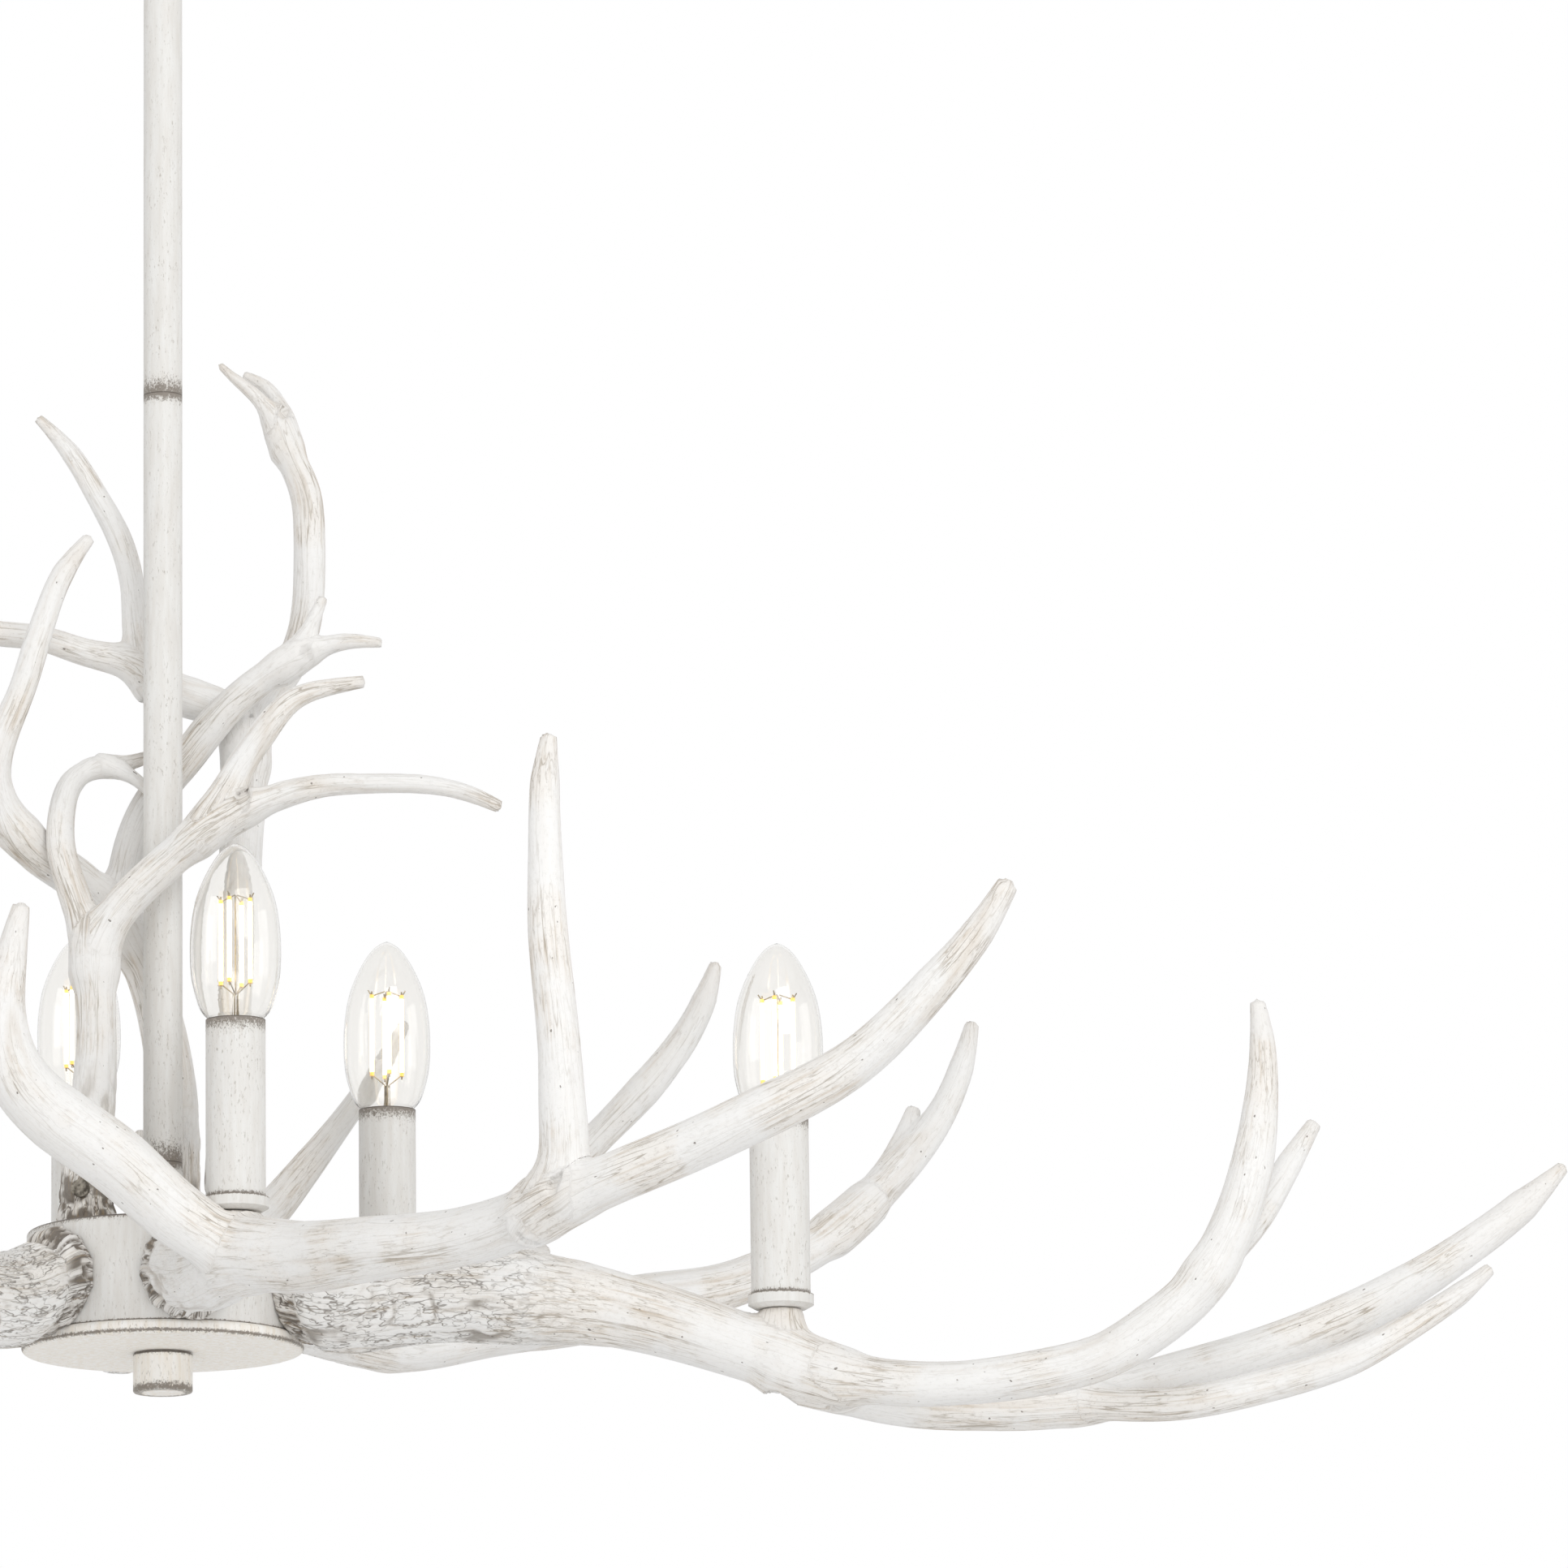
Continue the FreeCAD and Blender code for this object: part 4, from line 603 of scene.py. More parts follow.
def flowing_line(rows):
    """Dense samples of a smooth line through rows of (x, y, z, radius), with a frame that
    doesn't twist. Returns points, radii, lengths along, tangents, normals and binormals."""
    knots = np.concatenate([[0], np.cumsum(np.linalg.norm(np.diff(rows[:, :3], axis=0), axis=1))])
    count = len(rows)
    gaps = np.diff(knots)
    system = np.zeros((count, count))
    right = np.zeros((count, 3))
    system[0, 0] = system[-1, -1] = 1
    for i in range(1, count - 1):
        system[i, i - 1:i + 2] = gaps[i - 1], 2 * (gaps[i - 1] + gaps[i]), gaps[i]
        right[i] = 3 * ((rows[i + 1, :3] - rows[i, :3]) / gaps[i]
                        - (rows[i, :3] - rows[i - 1, :3]) / gaps[i - 1])
    curve = np.linalg.solve(system, right)
    along = np.linspace(0, knots[-1], max(4, int(knots[-1] / LIMB_STEP)))
    index = np.clip(np.searchsorted(knots, along, side="right") - 1, 0, count - 2)
    t = (along - knots[index])[:, None]
    g = gaps[index][:, None]
    start, end = rows[index, :3], rows[index + 1, :3]
    slope = (end - start) / g - g * (2 * curve[index] + curve[index + 1]) / 3
    points = (start + slope * t + curve[index] * t ** 2
              + (curve[index + 1] - curve[index]) / (3 * g) * t ** 3)
    radii = np.interp(along, knots, rows[:, 3])
    tangents = np.gradient(points, axis=0)
    tangents /= np.linalg.norm(tangents, axis=1)[:, None]
    normal = np.array((0.0, 0, 1)) if abs(tangents[0, 2]) < 0.8 else np.array((1.0, 0, 0))
    normals = []
    for tangent in tangents:
        normal = normal - tangent * normal.dot(tangent)
        normal /= np.linalg.norm(normal)
        normals.append(normal)
    normals = np.array(normals)
    return points, radii, along, tangents, normals, np.cross(tangents, normals)


def lattice_noise(spots, seed):
    """Smooth noise between -1 and 1 at rows of (x, y, z)."""
    base = np.floor(spots)
    part = spots - base
    part = part * part * (3 - 2 * part)
    total = np.zeros(len(spots))
    for corner in range(8):
        shift = np.array((corner & 1, corner >> 1 & 1, corner >> 2 & 1), float)
        cell = base + shift
        mixed_up = np.sin(cell @ SCATTER + seed * SCATTER_SEED) * SCATTER_GAIN
        weight = np.prod(np.where(shift > 0, part, 1 - part), axis=1)
        total += weight * (mixed_up - np.floor(mixed_up))
    return total * 2 - 1


def limb_field(spots, lines):
    """For each limb: distance outside it, length along, its radius there and the angle round it."""
    found = []
    for points, radii, along, tangents, normals, binormals in lines:
        nearest = np.empty(len(spots), int)
        for first in range(0, len(spots), BATCH):
            part = spots[first:first + BATCH]
            squares = (points ** 2).sum(1)[None] - 2 * part @ points.T
            nearest[first:first + BATCH] = squares.argmin(1)
        offset = spots - points[nearest]
        half = (along[1] - along[0]) / 2
        slip = np.clip((offset * tangents[nearest]).sum(1), -half, half)
        offset = offset - tangents[nearest] * slip[:, None]
        distance = np.linalg.norm(offset, axis=1)
        slope = np.gradient(radii, along)
        radius = radii[nearest] + slope[nearest] * slip
        angle = np.arctan2((offset * binormals[nearest]).sum(1), (offset * normals[nearest]).sum(1))
        found.append((distance - radius, along[nearest] + slip, radius, angle))
    return found


def smooth_union(distances, web):
    total = distances[0]
    for other in distances[1:]:
        share = np.clip(0.5 + 0.5 * (other - total) / web, 0, 1)
        total = other * (1 - share) + total * share - web * share * (1 - share)
    return total


def smoothstep(low, high, value):
    t = np.clip((value - low) / (high - low), 0, 1)
    return t * t * (3 - 2 * t)


def bark_and_furrows(field, bark, seed, settings):
    """Height of the surface's relief on one limb, in metres, and how much wash it holds."""
    along, radius, angle = field[1:]
    grain = np.stack([np.cos(angle) * radius, np.sin(angle) * radius, along], axis=1)
    # long lines 7 mm apart that run about 90 mm, fading in and out
    lines = lattice_noise(grain / np.array((0.0062, 0.0062, 0.085)), seed)
    cut = np.exp(-(lines / 0.13) ** 2)
    patch = smoothstep(-0.25, 0.45, lattice_noise(grain / np.array((0.016, 0.016, 0.05)), seed + 3))
    fine = lattice_noise(grain / np.array((0.0026, 0.0026, 0.03)), seed + 5)
    swell = lattice_noise(grain / np.array((0.014, 0.014, 0.045)), seed + 7)
    relief = settings.furrow * (-1.0 * cut * patch + 0.16 * fine + 0.8 * swell)
    wash = cut * patch * 0.5 + 0.10 * smoothstep(0.2, 0.9, fine)
    # bark plates 6 mm across and 25 mm long between cracks, with grit on them
    warp = lattice_noise(grain / 0.008, seed + 11)[:, None] * 0.4
    plates = lattice_noise(grain / np.array((0.0050, 0.0050, 0.022)) + warp, seed + 13)
    small = lattice_noise(grain / np.array((0.0025, 0.0025, 0.0075)) + warp, seed + 17)
    here = lattice_noise(grain / np.array((0.011, 0.011, 0.022)), seed + 19)
    here = smoothstep(-0.35, 0.35, here)
    crack = np.exp(-(plates / 0.12) ** 2) * (0.25 + 0.75 * here)
    split = np.exp(-(small / 0.16) ** 2) * (1.1 - here)
    rough = -0.55 * crack - 0.30 * split + 0.34 * np.abs(plates) + 0.22 * small
    relief = relief * (1 - bark) + settings.bark * rough * bark
    wash = wash * (1 - bark) + (0.55 * crack + 0.20 * split) * bark
    return relief, np.clip(wash, 0, 1), grain


def antler_grid(node, settings):
    """An even grid over one antler's solid, softened where the solid's facets meet."""
    skin = bpy.data.objects.new(node + "_skin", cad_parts[node].data.copy())
    bpy.context.collection.objects.link(skin)
    activate(skin)
    bpy.ops.object.mode_set(mode="EDIT")
    bpy.ops.mesh.select_all(action="SELECT")
    bpy.ops.mesh.remove_doubles(threshold=0.00001)
    bpy.ops.object.mode_set(mode="OBJECT")
    remesh = skin.modifiers.new("grid", "REMESH")
    remesh.mode = "VOXEL"
    remesh.voxel_size = settings.grid
    remesh.use_smooth_shade = True
    smooth = skin.modifiers.new("soften", "SMOOTH")
    smooth.factor = 0.5
    smooth.iterations = 5
    for modifier in ("grid", "soften"):
        bpy.ops.object.modifier_apply(modifier=modifier)
    return skin


def rows_of(collection, attribute):
    """A mesh's points or normals as rows of three."""
    values = np.empty(len(collection) * 3)
    collection.foreach_get(attribute, values)
    return values.reshape(-1, 3)


def antler_skin(node, limbs, bark_reach, bark_tone, seed, settings, boss=None):
    """A skin for one antler: even grid over the solid, limbs flowed together at the forks,
    then furrows, bark and the grainy burr."""
    skin = antler_grid(node, settings)
    mesh = skin.data
    spots = rows_of(mesh.vertices, "co")
    count = len(spots)
    names = list(limbs)
    rows = list(limbs.values())
    if boss is not None:
        names.append("boss")
        rows.append(boss)
    lines = [flowing_line(r) for r in rows]
    lower = node.startswith("lower")
    # the first turn moves the skin, and the second measures it as moved
    for turn in range(2):
        field = limb_field(spots, lines)
        shape = smooth_union([f[0] for f in field], settings.web)
        weights = np.exp(-(np.array([f[0] for f in field]) - shape) / LIMB_BLEND)
        weights /= weights.sum(0)
        # only the open skin moves: seats, holes and the burr stay where the solid has them
        if lower:
            from_seat = np.linalg.norm(spots[:, :2], axis=1) - DRUM_RADIUS * MM
        else:
            from_seat = spots[:, 2] - HUB_TOP * MM
        open_skin = smoothstep(*BURR_TO_LIMB, from_seat) * (shape > -HOLE_DEPTH)
        open_skin = open_skin * (np.abs(shape) < SKIN_REACH)
        for i, line in enumerate(lines):
            if names[i] in ("beam", "trunk"):
                continue
            past_tip = field[i][1] > line[2][-1] - TIP_MARGIN
            open_skin = open_skin * (1 - (weights[i] > 0.5) * past_tip)
        if boss is not None:
            by_seat = np.linalg.norm(spots[:, :2] - boss[-1, :2], axis=1)
            near_top = (by_seat < SEAT_RADIUS) * (spots[:, 2] > boss[-1, 2] - SEAT_DEPTH)
            in_bore = (by_seat < BORE_RADIUS) * (shape < -BORE_DEPTH)
            open_skin = open_skin * (1 - near_top) * (1 - in_bore)
        if turn == 0:
            outward = rows_of(mesh.vertices, "normal")
            spots = spots - outward * (np.clip(shape, *SKIN_MOVE) * open_skin)[:, None]
            mesh.vertices.foreach_set("co", spots.ravel())
            mesh.update()
    # each limb's relief and wash, shared at the forks; the grain is that of the nearest limb
    relief = np.zeros(count)
    wash = np.zeros(count)
    bark_all = np.zeros(count)
    grain_all = np.zeros((count, 3))
    best = weights.argmax(0)
    for i, name in enumerate(names):
        root = name in ("beam", "trunk")
        bark = np.zeros(count)
        if root:
            bark = 1 - smoothstep(bark_reach * 0.55, bark_reach, field[i][1])
        height, held, grain = bark_and_furrows(field[i], bark, seed + i * 1.7, settings)
        tip = 0.0 if root else smoothstep(0.82, 1.0, field[i][1] / lines[i][2][-1])
        relief += weights[i] * height * (1 - 0.65 * tip)
        wash += weights[i] * (held + 0.22 * tip)
        bark_all += weights[i] * bark
        grain_all[best == i] = grain[best == i]
    # a little wash lies in the forks, where a second limb has its share
    second = np.sort(weights, axis=0)[-2]
    wash = np.maximum(wash, smoothstep(0.12, 0.5, second) * 0.08)
    # crooked ridges 2.5 mm wide over the burr's face and rim
    burr = 1 - smoothstep(*BURR_RIM, from_seat)
    distance, along, radius, angle = field[0]
    fan = np.stack([np.cos(angle) * BURR_RADIUS, np.sin(angle) * BURR_RADIUS,
                    (distance + radius) * 0.5 + along * 0.6], axis=1)
    fan = fan + 0.0012 * lattice_noise(fan / 0.0045, seed + 27)[:, None]
    knob = lattice_noise(fan / 0.0026, seed + 29)
    knob_crack = np.exp(-(lattice_noise(fan / 0.0030, seed + 31) / 0.17) ** 2)
    free = smoothstep(*BURR_START, from_seat)
    relief = relief * (1 - burr) + burr * free * (RIDGE * knob - RIDGE_CRACK * knob_crack)
    wash = wash * (1 - burr) + burr * (0.24 + 0.50 * knob_crack - 0.10 * knob)
    grain_all = np.where((burr > 0.5)[:, None] & lower, fan, grain_all)
    seat = smoothstep(*SKIN_START, from_seat) * (shape >= -HOLE_DEPTH)
    if boss is not None:
        # wash gathers round the candle's seat
        seat = seat * (1 - near_top)
        rise = smoothstep(boss[0, 2] - 0.002, boss[0, 2] + 0.004, spots[:, 2])
        wash = np.maximum(wash, smoothstep(0.013, 0.0085, by_seat) * 0.5 * rise)
    spots = spots + rows_of(mesh.vertices, "normal") * (relief * seat)[:, None]
    mesh.vertices.foreach_set("co", spots.ravel())
    # grey-brown fills the burr's cracks, the bark's cracks less, and the foot of an upper trunk
    dark = np.maximum(bark_all * bark_tone, burr)
    if not lower:
        foot = (1 - smoothstep(*FOOT_END, from_seat)) * 0.9
        mottle = smoothstep(-0.3, 0.35, lattice_noise(spots / 0.0026, seed + 37))
        wash = np.maximum(wash * (1 - foot), foot * (0.22 + 0.62 * mottle))
        dark = np.maximum(dark, foot)
    for label, values, kind, part in (("glaze", wash, "FLOAT", "value"),
                                      ("bark", dark, "FLOAT", "value"),
                                      ("grain", grain_all, "FLOAT_VECTOR", "vector")):
        layer = mesh.attributes.new(label, kind, "POINT")
        layer.data.foreach_set(part, np.ascontiguousarray(values, dtype=np.float32).ravel())
    mesh.update()
    mesh.shade_smooth()
    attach(skin, "fixture")
    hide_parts(node)
    return skin


def boss_line(number, limbs):
    """Middle line of the boss that carries a candle, from the beam up to its seat."""
    low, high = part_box("candle_cup_%d" % (number + 1))
    x, y = (low[0] + high[0]) / 2, (low[1] + high[1]) / 2
    beam = flowing_line(limbs["beam"])[0]
    root = beam[np.argmin(np.linalg.norm(beam[:, :2] - np.array((x, y)), axis=1)), 2]
    top = low[2]
    return np.array([(x, y, root + (top - root) * k / 3, 0.0100 - 0.0015 * k / 3) for k in range(4)])


class CHANDELIER_OT_antlers(bpy.types.Operator):
    """Cover the nine antlers with their furrowed skins"""
    bl_idname = "chandelier.antlers"
    bl_label = "Antlers"

    def execute(self, context):
        settings = context.scene.chandelier_antlers
        paint = cast_antler_paint(settings)
        for number in range(6):
            limbs = lower_limbs(number)
            reach, tone = OUTER_BARK if number % 2 else INNER_BARK
            skin = antler_skin("lower_antler_%d" % (number + 1), limbs, reach, tone,
                               3.0 + number * 9.1, settings, boss_line(number, limbs))
            finish_with(skin, paint)
        for number in range(3):
            skin = antler_skin("upper_antler_%d" % (number + 1), upper_limbs(number), *UPPER_BARK,
                               71.0 + number * 8.3, settings)
            finish_with(skin, paint)
        return {"FINISHED"}


# ------------------------------------------------------------------ metalwork

LOW, HIGH = 0, 1
# rings (end of the node, shift up, reach) where the coat is rubbed through
RUBBED = {
    "canopy": [(HIGH, 0, 0.004)],
    "canopy_cap_nuts": [(LOW, 0, 0.003)],
    "swivel_socket": [(LOW, 0, 0.004), (HIGH, 0, 0.003)],
    "swivel_ball": [(HIGH, 0, 0.005)],
    "upper_stem": [(LOW, 0, 0.011), (HIGH, 0, 0.008)],
    "lower_stem": [(LOW, 0, 0.015), (HIGH, 0, 0.006)],
    "hub_neck": [(HIGH, 0, 0.006), (LOW, 0, 0.004)],
    "hub_drum": [(HIGH, 0, 0.003), (LOW, 0, 0.0012)],
    "hub_plate": [(LOW, 0.0012, 0.0016)],
    "finial": [(LOW, 0.001, 0.0042), (HIGH, 0, 0.0030)],
}
SLEEVE_RUBBED = [(HIGH, 0, 0.0085), (LOW, 0.004, 0.0026)]
CUP_RUBBED = [(HIGH, 0, 0.0008)]
# rings (end of the node, shift up, half width) where dark wash sits in a seam
SEAMS = {
    "upper_stem": [(LOW, 0, 0.0005)],
    "lower_stem": [(LOW, 0, 0.0005)],
    "hub_drum": [(HIGH, 0, 0.0008), (LOW, 0, 0.0003)],
    "finial": [(HIGH, -0.0008, 0.0005)],
}
SLEEVE_SEAM = [(HIGH, 0, 0.0004)]
# under the hub the coat is painted whiter, also where brushed thin: painted light on the plate and
# finial, whose undersides face down into shade
UNDERSIDE_PAINTED_LIGHT = ("hub_plate", "finial")
PLATED = ("mounting_strap", "nipple_locknut", "hub_nuts", "antler_bolts", "canopy_studs",
          "swivel_nipple", "centre_rod", "candle_nipples", "stem_couplers")


class CHANDELIER_OT_metalwork(bpy.types.Operator):
    """Paint the ceiling parts, stems and hub, and plate the fixings"""
    bl_idname = "chandelier.metalwork"
    bl_label = "Metalwork"

    def execute(self, context):
        settings = context.scene.chandelier_paint
        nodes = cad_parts
        # the whiter pair of whites for the parts under the hub is painted light on their shaded
        # undersides
        painted_light_coat = (settings.underside_painted_light_white, settings.underside_painted_light_worn)
        for node, rings in RUBBED.items():
            coat = painted_light_coat if node in UNDERSIDE_PAINTED_LIGHT else None
            paint = worn_steel_paint(node, settings, rings, SEAMS.get(node, ()), coat=coat)
            finish_with(nodes[node], paint)
        zinc = zinc_plate(settings)
        for node in PLATED:
            finish_with(nodes[node], zinc)
        finish_with(nodes["foot_screws"], antique_steel())
        finish_with(nodes["swivel_liner"], moulded("turned_nylon", "#E9E5DA", "#DDD8CB", 0.45))
        return {"FINISHED"}


class CHANDELIER_OT_candles(bpy.types.Operator):
    """Paint the candle cups and sleeves and finish the lampholders"""
    bl_idname = "chandelier.candles"
    bl_label = "Candles"

    def execute(self, context):
        settings = context.scene.chandelier_paint
        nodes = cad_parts
        black = moulded("phenolic_moulding", "#1C1B1A", "#121110", 0.4)
        for number in range(1, 7):
            sleeve, cup = "candle_sleeve_%d" % number, "candle_cup_%d" % number
            paint = worn_steel_paint(sleeve, settings, SLEEVE_RUBBED, SLEEVE_SEAM, strength=1.25)
            finish_with(nodes[sleeve], paint)
            finish_with(nodes[cup], worn_steel_paint(cup, settings, CUP_RUBBED, strength=0.5))
            finish_with(nodes["lampholder_%d" % number], black)
        return {"FINISHED"}


# ------------------------------------------------------------------ bulbs

# flat sides round a glowing rod, its amber end, the pin on that and a wire
ROD_SIDES, BEAD_SIDES, PIN_SIDES, WIRE_SIDES = 16, 12, 8, 6
# in metres, from a rod's end or from the sleeve's rim
BEAD = 0.0016  # length of the amber end
CROWN = 0.0030  # height over the rods at which the inner wires meet
WIRE_FOOT = -0.009  # where the lower wires end in the glass mount
# outlines as (radius, height) with the sleeve's rim at nought, in metres
MOUNT_OUTLINE = [(0.0, 0.0105), (0.0007, 0.0102), (0.0011, 0.0088), (0.0013, 0.004),
                 (0.0016, -0.002), (0.0026, -0.006), (0.0046, -0.0088), (0.0050, -0.0096),
                 (0.0, -0.0096)]
CAP_TOP = [(0.0, -0.0102), (0.0056, -0.0102)]
CAP_FOOT = [(0.0056, -0.0268), (0.0035, -0.0276), (0.0030, -0.0278), (0.0022, -0.0288),
            (0.0, -0.0289)]
THREAD_START, THREAD_PITCH, THREAD_TURNS = -0.0125, 0.0022, 6
THREAD_CREST, THREAD_ROOT = 0.0062, 0.0057
# degrees by which each bulb stands turned in its lampholder
BULB_TURNS = (22, 31, 52, 17, 66, 40)


def rod_between(start, end, radius, sides):
    """A round rod from start to end, made as a cylinder at its size and place."""
    start, end = Vector(start), Vector(end)
    way = end - start
    turn = way.to_track_quat("Z", "Y")
    deselect()
    bpy.ops.mesh.primitive_cylinder_add(vertices=sides, radius=radius, depth=way.length,
                                        location=(start + end) / 2, rotation=turn.to_euler())
    piece = bpy.context.active_object
    bpy.ops.object.transform_apply(location=True, rotation=True, scale=True)
    bpy.ops.object.shade_smooth_by_angle(angle=math.radians(40))
    return piece


def joined(pieces, name):
    deselect()
    for piece in pieces:
        piece.select_set(True)
    bpy.context.view_layer.objects.active = pieces[0]
    bpy.ops.object.join()
    whole = bpy.context.active_object
    whole.name = name
    return whole


def turned_profile(outline, name, steps):
    """Spin an outline of (radius, height) round the upright axis into a closed form."""
    mesh = bpy.data.meshes.new(name)
    mesh.from_pydata([(radius, 0.0, height) for radius, height in outline],
                     [(i, i + 1) for i in range(len(outline) - 1)], [])
    piece = bpy.data.objects.new(name, mesh)
    bpy.context.collection.objects.link(piece)
    activate(piece)
    bpy.ops.object.mode_set(mode="EDIT")
    bpy.ops.mesh.select_all(action="SELECT")
    bpy.ops.mesh.spin(steps=steps, angle=math.tau, center=(0, 0, 0), axis=(0, 0, 1))
    bpy.ops.mesh.select_all(action="SELECT")
    bpy.ops.mesh.remove_doubles(threshold=0.000005)
    bpy.ops.mesh.normals_make_consistent(inside=False)
    bpy.ops.object.mode_set(mode="OBJECT")
    bpy.ops.object.shade_smooth_by_angle(angle=math.radians(35))
    return piece


def bulb_pattern(settings):
    """One bulb's inside with the sleeve's rim at nought: rods, wires, glass mount, cap."""
    low, high = settings.rod_low, settings.rod_low + settings.rod_length
    rods, beads, wires = [], [], []

    def wire(start, end, thick=1.0, sides=WIRE_SIDES):
        wires.append(rod_between(start, end, settings.wire * thick, sides))

    for i in range(4):
        a = math.radians(45 + 90 * i)
        x, y = settings.ring * math.cos(a), settings.ring * math.sin(a)
        rods.append(rod_between((x, y, low), (x, y, high), settings.rod, ROD_SIDES))
        for z, rise in ((low, -BEAD), (high, BEAD)):
            beads.append(rod_between((x, y, z), (x, y, z + rise), settings.rod * 0.95, BEAD_SIDES))
            wire((x, y, z + rise), (x, y, z + rise * 1.8), 1.4, PIN_SIDES)
        # over the rods one wire runs in and one out, and under them one runs down to the mount
        knee = (x * 0.16, y * 0.16, low - 0.0052)
        wire((x, y, high + 0.001), (x * 0.12, y * 0.12, high + CROWN))
        wire((x, y, high + 0.001), (x * 1.25, y * 1.25, high + 0.0034))
        wire((x, y, low - 0.001), knee)
        wire(knee, (x * 0.16, y * 0.16, WIRE_FOOT))
    wire((0, 0, low - 0.006), (0, 0, high + CROWN), 1.1)
    glow = joined(rods, "bulb_rods_pattern")
    ends = joined(beads, "bulb_beads_pattern")
    frame_wires = joined(wires, "bulb_wires_pattern")
    mount = turned_profile(MOUNT_OUTLINE, "bulb_mount_pattern", 28)
    thread = []
    for turn in range(THREAD_TURNS):
        z = THREAD_START - turn * THREAD_PITCH
        thread += [(THREAD_CREST, z), (THREAD_ROOT, z - THREAD_PITCH / 2)]
    cap = turned_profile(CAP_TOP + thread + CAP_FOOT, "bulb_cap_pattern", 40)
    return glow, ends, frame_wires, mount, cap


class CHANDELIER_OT_bulbs(bpy.types.Operator):
    """Blow the glass and build each bulb's rods, wires, glass mount and screw cap"""
    bl_idname = "chandelier.bulbs"
    bl_label = "Bulbs"

    def execute(self, context):
        settings = context.scene.chandelier_bulbs
        glass = blown_glass()
        finishes = (glowing_rod("glowing_phosphor_rod", settings, "#FFF8EA", settings.glow),
                    glowing_rod("amber_rod_end", settings, "#F3C566", settings.glow * 0.3),
                    nickel_wire(), glass, zinc_plate(context.scene.chandelier_paint))
        patterns = bulb_pattern(settings)
        labels = ("bulb_rods", "bulb_beads", "bulb_wires", "bulb_mount", "bulb_cap")
        slots = ("bulb_metal", "bulb_metal", "bulb_metal", "clear_glass", "bulb_metal")
        for number, degrees in enumerate(BULB_TURNS, 1):
            low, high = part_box("candle_sleeve_%d" % number)
            rim = Vector(((low[0] + high[0]) / 2, (low[1] + high[1]) / 2, high[2]))
            place = Matrix.Translation(rim) @ Matrix.Rotation(math.radians(degrees), 4, "Z")
            for source, label, finish, slot in zip(patterns, labels, finishes, slots):
                piece = bpy.data.objects.new("%s_%d" % (label, number), source.data.copy())
                bpy.context.collection.objects.link(piece)
                piece.data.transform(place)
                finish_with(piece, finish)
                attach(piece, "bulb_%d" % number)
                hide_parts("bulb_core_%d" % number)
            finish_with(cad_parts["bulb_glass_%d" % number], glass)
        for source in patterns:
            bpy.data.objects.remove(source)
        return {"FINISHED"}


# ------------------------------------------------------------------ stage

# in metres: the floor's side, how far out it fades, and the point at which the lamps aim
FLOOR_SIZE = 12
FLOOR_FADE = (2.0, 5.0)
AIM = (0, 0, -0.6)
# name, place, side, share of the key lamp's power
LAMPS = [("front_lamp", (0.9, -2.6, 0.9), 1.8, 1.0),
         ("left_lamp", (-2.4, -1.2, 0.3), 1.5, 0.35),
         ("right_lamp", (2.6, -0.6, -0.2), 1.4, 0.25),
         ("low_lamp", (0.2, -2.3, -1.8), 1.8, 0.68)]
# the camera looks this way, with the stem between these heights upright in its frame
CAMERA_PLACE = (0, -4.0, -1.346)
CAMERA_LOOK = (764, 12360, 2533)
STEM_HEIGHTS = (-0.36, -0.68)


def stage_paint(settings):
    """Matt studio floor that fades into the air 2 to 5 m out. Seen from below it vanishes, so
    the chandelier shows from there too."""
    material, tree = new_material("matt_studio_floor")
    place = add(tree, "TexCoord").outputs["Object"]
    # clouds 400 mm across
    cloud = pattern(tree, place, 400, detail=2.0)
    tone = add(tree, "ValToRGB", cloud, stops=[(0.3, "#F1F1F1"), (0.7, settings.floor)])
    matt = add(tree, "BsdfPrincipled", Base_Color=tone, Roughness=0.9)
    side = add(tree, "NewGeometry").outputs["Backfacing"]
    flat = add(tree, "Mapping", place, Scale=(1, 1, 0))
    reach = add(tree, "VectorMath", flat, operation="LENGTH")
    fade = add(tree, "MapRange", reach, *FLOOR_FADE, interpolation_type="SMOOTHSTEP")
    gone = add(tree, "Math", side, fade, operation="MAXIMUM")
    add(tree, "OutputMaterial", add(tree, "MixShader", gone, matt, add(tree, "BsdfTransparent")))
    return material


def studio_air(settings):
    """Even light on the chandelier, and plain white where the camera, glass or gloss sees it."""
    world = bpy.data.worlds.new("studio_air")
    world.use_nodes = True
    tree = world.node_tree
    tree.nodes.clear()
    path = add(tree, "LightPath").outputs
    seen = add(tree, "Math", path["Is Camera Ray"], path["Is Transmission Ray"], operation="MAXIMUM")
    seen = add(tree, "Math", seen, path["Is Glossy Ray"], operation="MAXIMUM")
    even = add(tree, "Background", Color=(1, 1, 1, 1), Strength=settings.fill)
    white = add(tree, "Background", Color=(1, 1, 1, 1), Strength=1.0)
    add(tree, "OutputWorld", add(tree, "MixShader", seen, even, white))
    return world


def area_lamp(name, place, size, power):
    lamp = bpy.data.lights.new(name, "AREA")
    lamp.shape = "SQUARE"
    lamp.size = size
    lamp.energy = power
    holder = bpy.data.objects.new(name, lamp)
    bpy.context.collection.objects.link(holder)
    holder.location = place
    holder.rotation_mode = "QUATERNION"
    holder.rotation_quaternion = (Vector(AIM) - Vector(place)).to_track_quat("-Z", "Y")
    holder.visible_camera = False


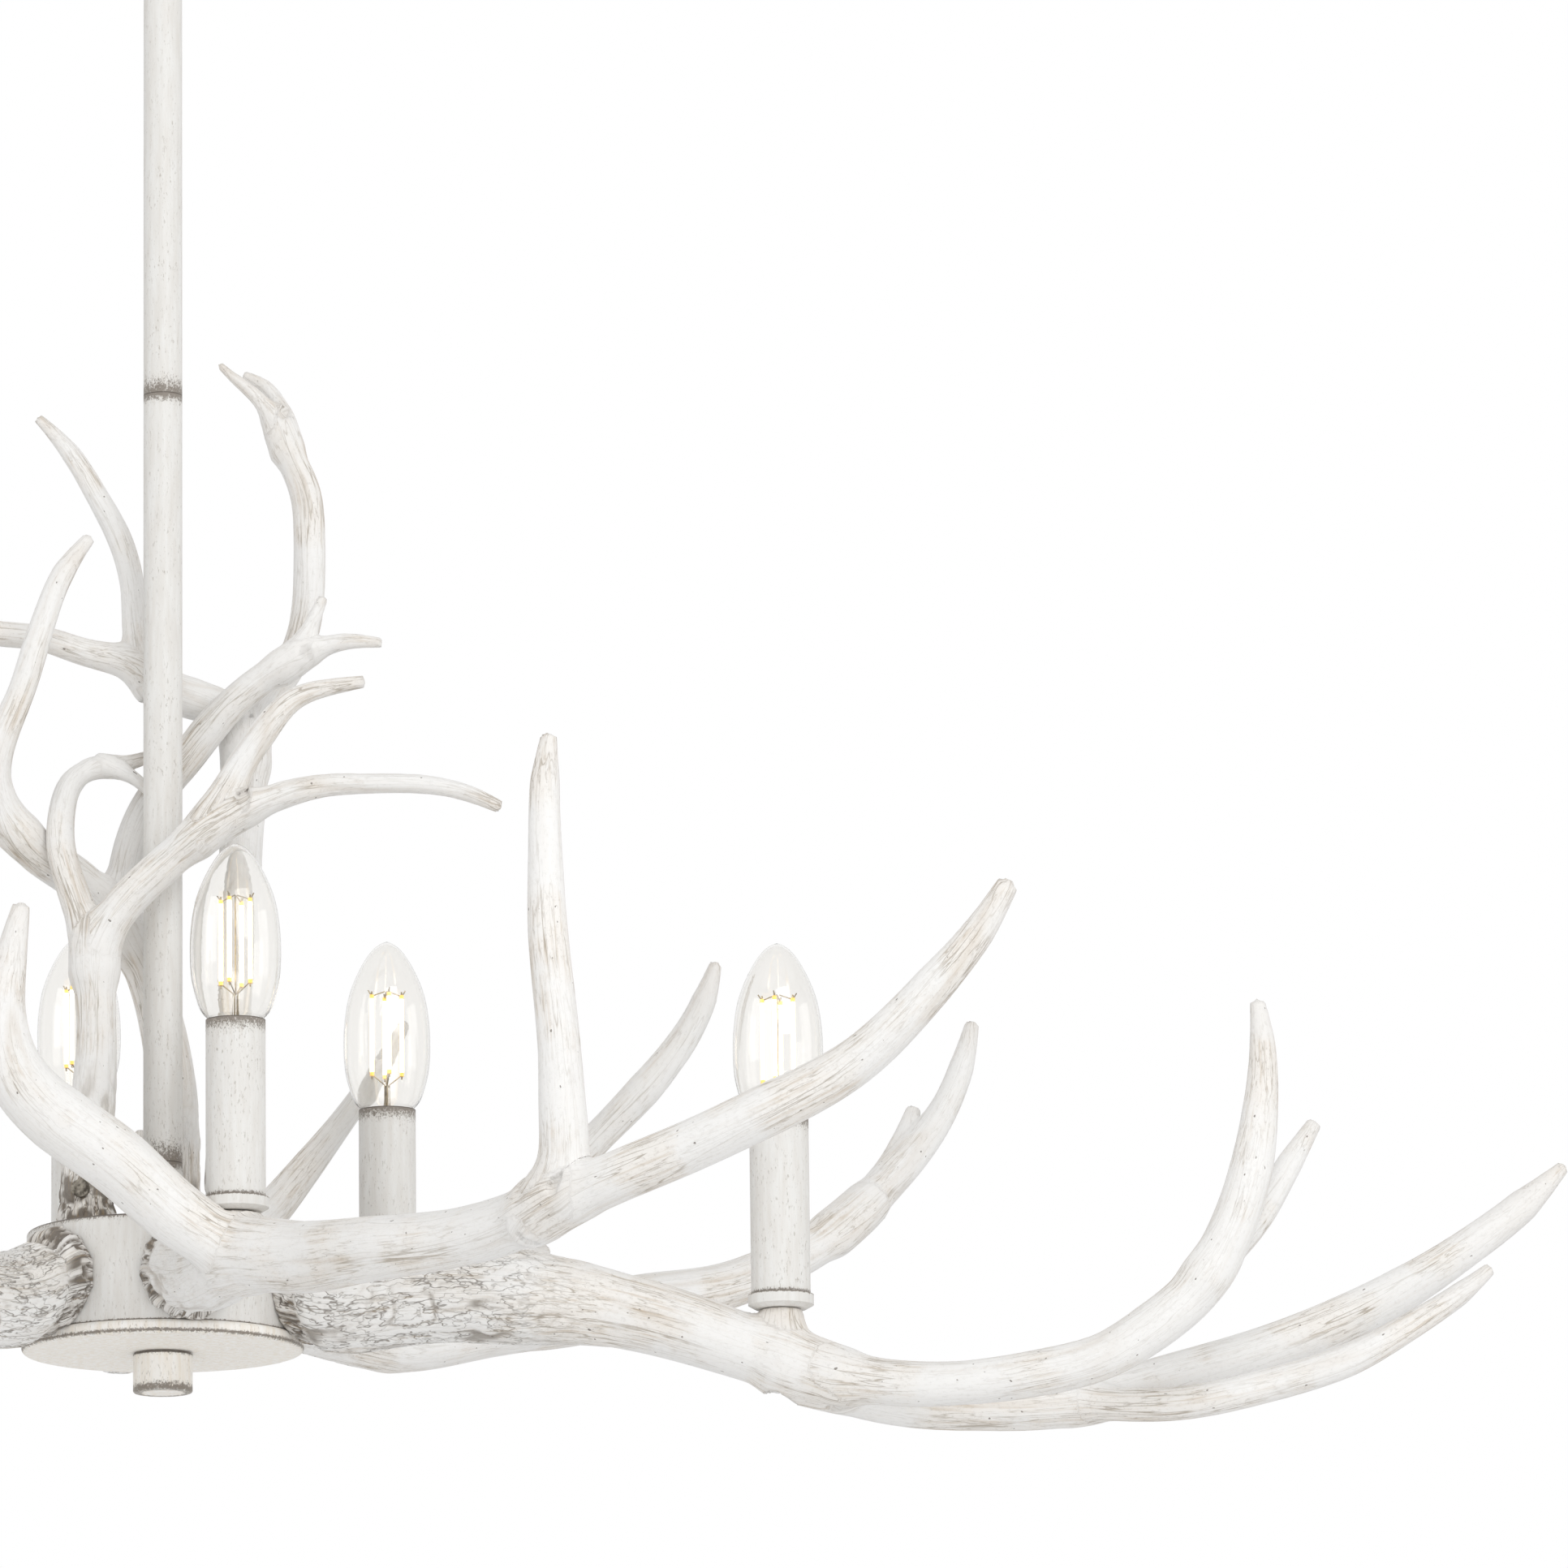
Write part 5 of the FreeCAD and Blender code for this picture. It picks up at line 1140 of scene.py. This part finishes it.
def aim_camera(settings):
    """Long lens from the front, below the antlers and looking up, with the stem upright."""
    data = bpy.data.cameras.new("photographer")
    data.sensor_width = 36
    data.lens = settings.lens
    data.clip_end = 100
    camera = bpy.data.objects.new("photographer", data)
    bpy.context.collection.objects.link(camera)
    place = Vector(CAMERA_PLACE)
    turn = Vector(CAMERA_LOOK).to_track_quat("-Z", "Y")
    ends = []
    for z in STEM_HEIGHTS:
        spot = turn.inverted() @ (Vector((0, 0, z)) - place)
        ends.append(Vector((spot.x / -spot.z, spot.y / -spot.z)))
    lean = math.atan2(ends[0].x - ends[1].x, ends[0].y - ends[1].y)
    camera.location = place
    camera.rotation_mode = "QUATERNION"
    camera.rotation_quaternion = turn @ Quaternion((0, 0, 1), -lean)
    bpy.context.scene.camera = camera


class CHANDELIER_OT_stage(bpy.types.Operator):
    """Set the floor, the even light, the lamps and the camera"""
    bl_idname = "chandelier.stage"
    bl_label = "Stage"

    def execute(self, context):
        settings = context.scene.chandelier_stage
        deselect()
        bpy.ops.mesh.primitive_grid_add(x_subdivisions=8, y_subdivisions=8, size=FLOOR_SIZE,
                                        location=(0, 0, settings.floor_z))
        floor = bpy.context.active_object
        floor.name = "studio_floor"
        bpy.ops.object.transform_apply(location=True, rotation=True, scale=True)
        finish_with(floor, stage_paint(settings))
        context.scene.world = studio_air(settings)
        for name, place, size, share in LAMPS:
            area_lamp(name, place, size, settings.key * share)
        aim_camera(settings)
        return {"FINISHED"}


# ------------------------------------------------------------------ panel and run


class CHANDELIER_PT_panel(bpy.types.Panel):
    bl_idname = "CHANDELIER_PT_panel"
    bl_label = "Chandelier"
    bl_space_type = "VIEW_3D"
    bl_region_type = "UI"
    bl_category = "Chandelier"

    def draw(self, context):
        for key, operator in (("antlers", "antlers"), ("paint", "metalwork"), ("paint", "candles"),
                              ("bulbs", "bulbs"), ("stage", "stage")):
            self.layout.operator("chandelier." + operator)
            settings = getattr(context.scene, "chandelier_" + key)
            for name in settings.bl_rna.properties.keys()[2:]:
                self.layout.prop(settings, name)


GROUPS = {"chandelier_antlers": AntlerSettings, "chandelier_paint": PaintSettings,
          "chandelier_bulbs": BulbSettings, "chandelier_stage": StageSettings}
CLASSES = (AntlerSettings, PaintSettings, BulbSettings, StageSettings, CHANDELIER_OT_antlers,
           CHANDELIER_OT_metalwork, CHANDELIER_OT_candles, CHANDELIER_OT_bulbs, CHANDELIER_OT_stage,
           CHANDELIER_PT_panel)


def register():
    for cls in CLASSES:
        bpy.utils.register_class(cls)
    for name, group in GROUPS.items():
        setattr(bpy.types.Scene, name, bpy.props.PointerProperty(type=group))


def unregister():
    for name in GROUPS:
        delattr(bpy.types.Scene, name)
    for cls in reversed(CLASSES):
        bpy.utils.unregister_class(cls)


def main():
    register()
    scene = bpy.context.scene
    scene.view_settings.view_transform = "Standard"
    bpy.ops.chandelier.stage()
    bpy.ops.chandelier.metalwork()
    bpy.ops.chandelier.candles()
    bpy.ops.chandelier.bulbs()
    bpy.ops.chandelier.antlers()


if __name__ == "__main__":
    main()
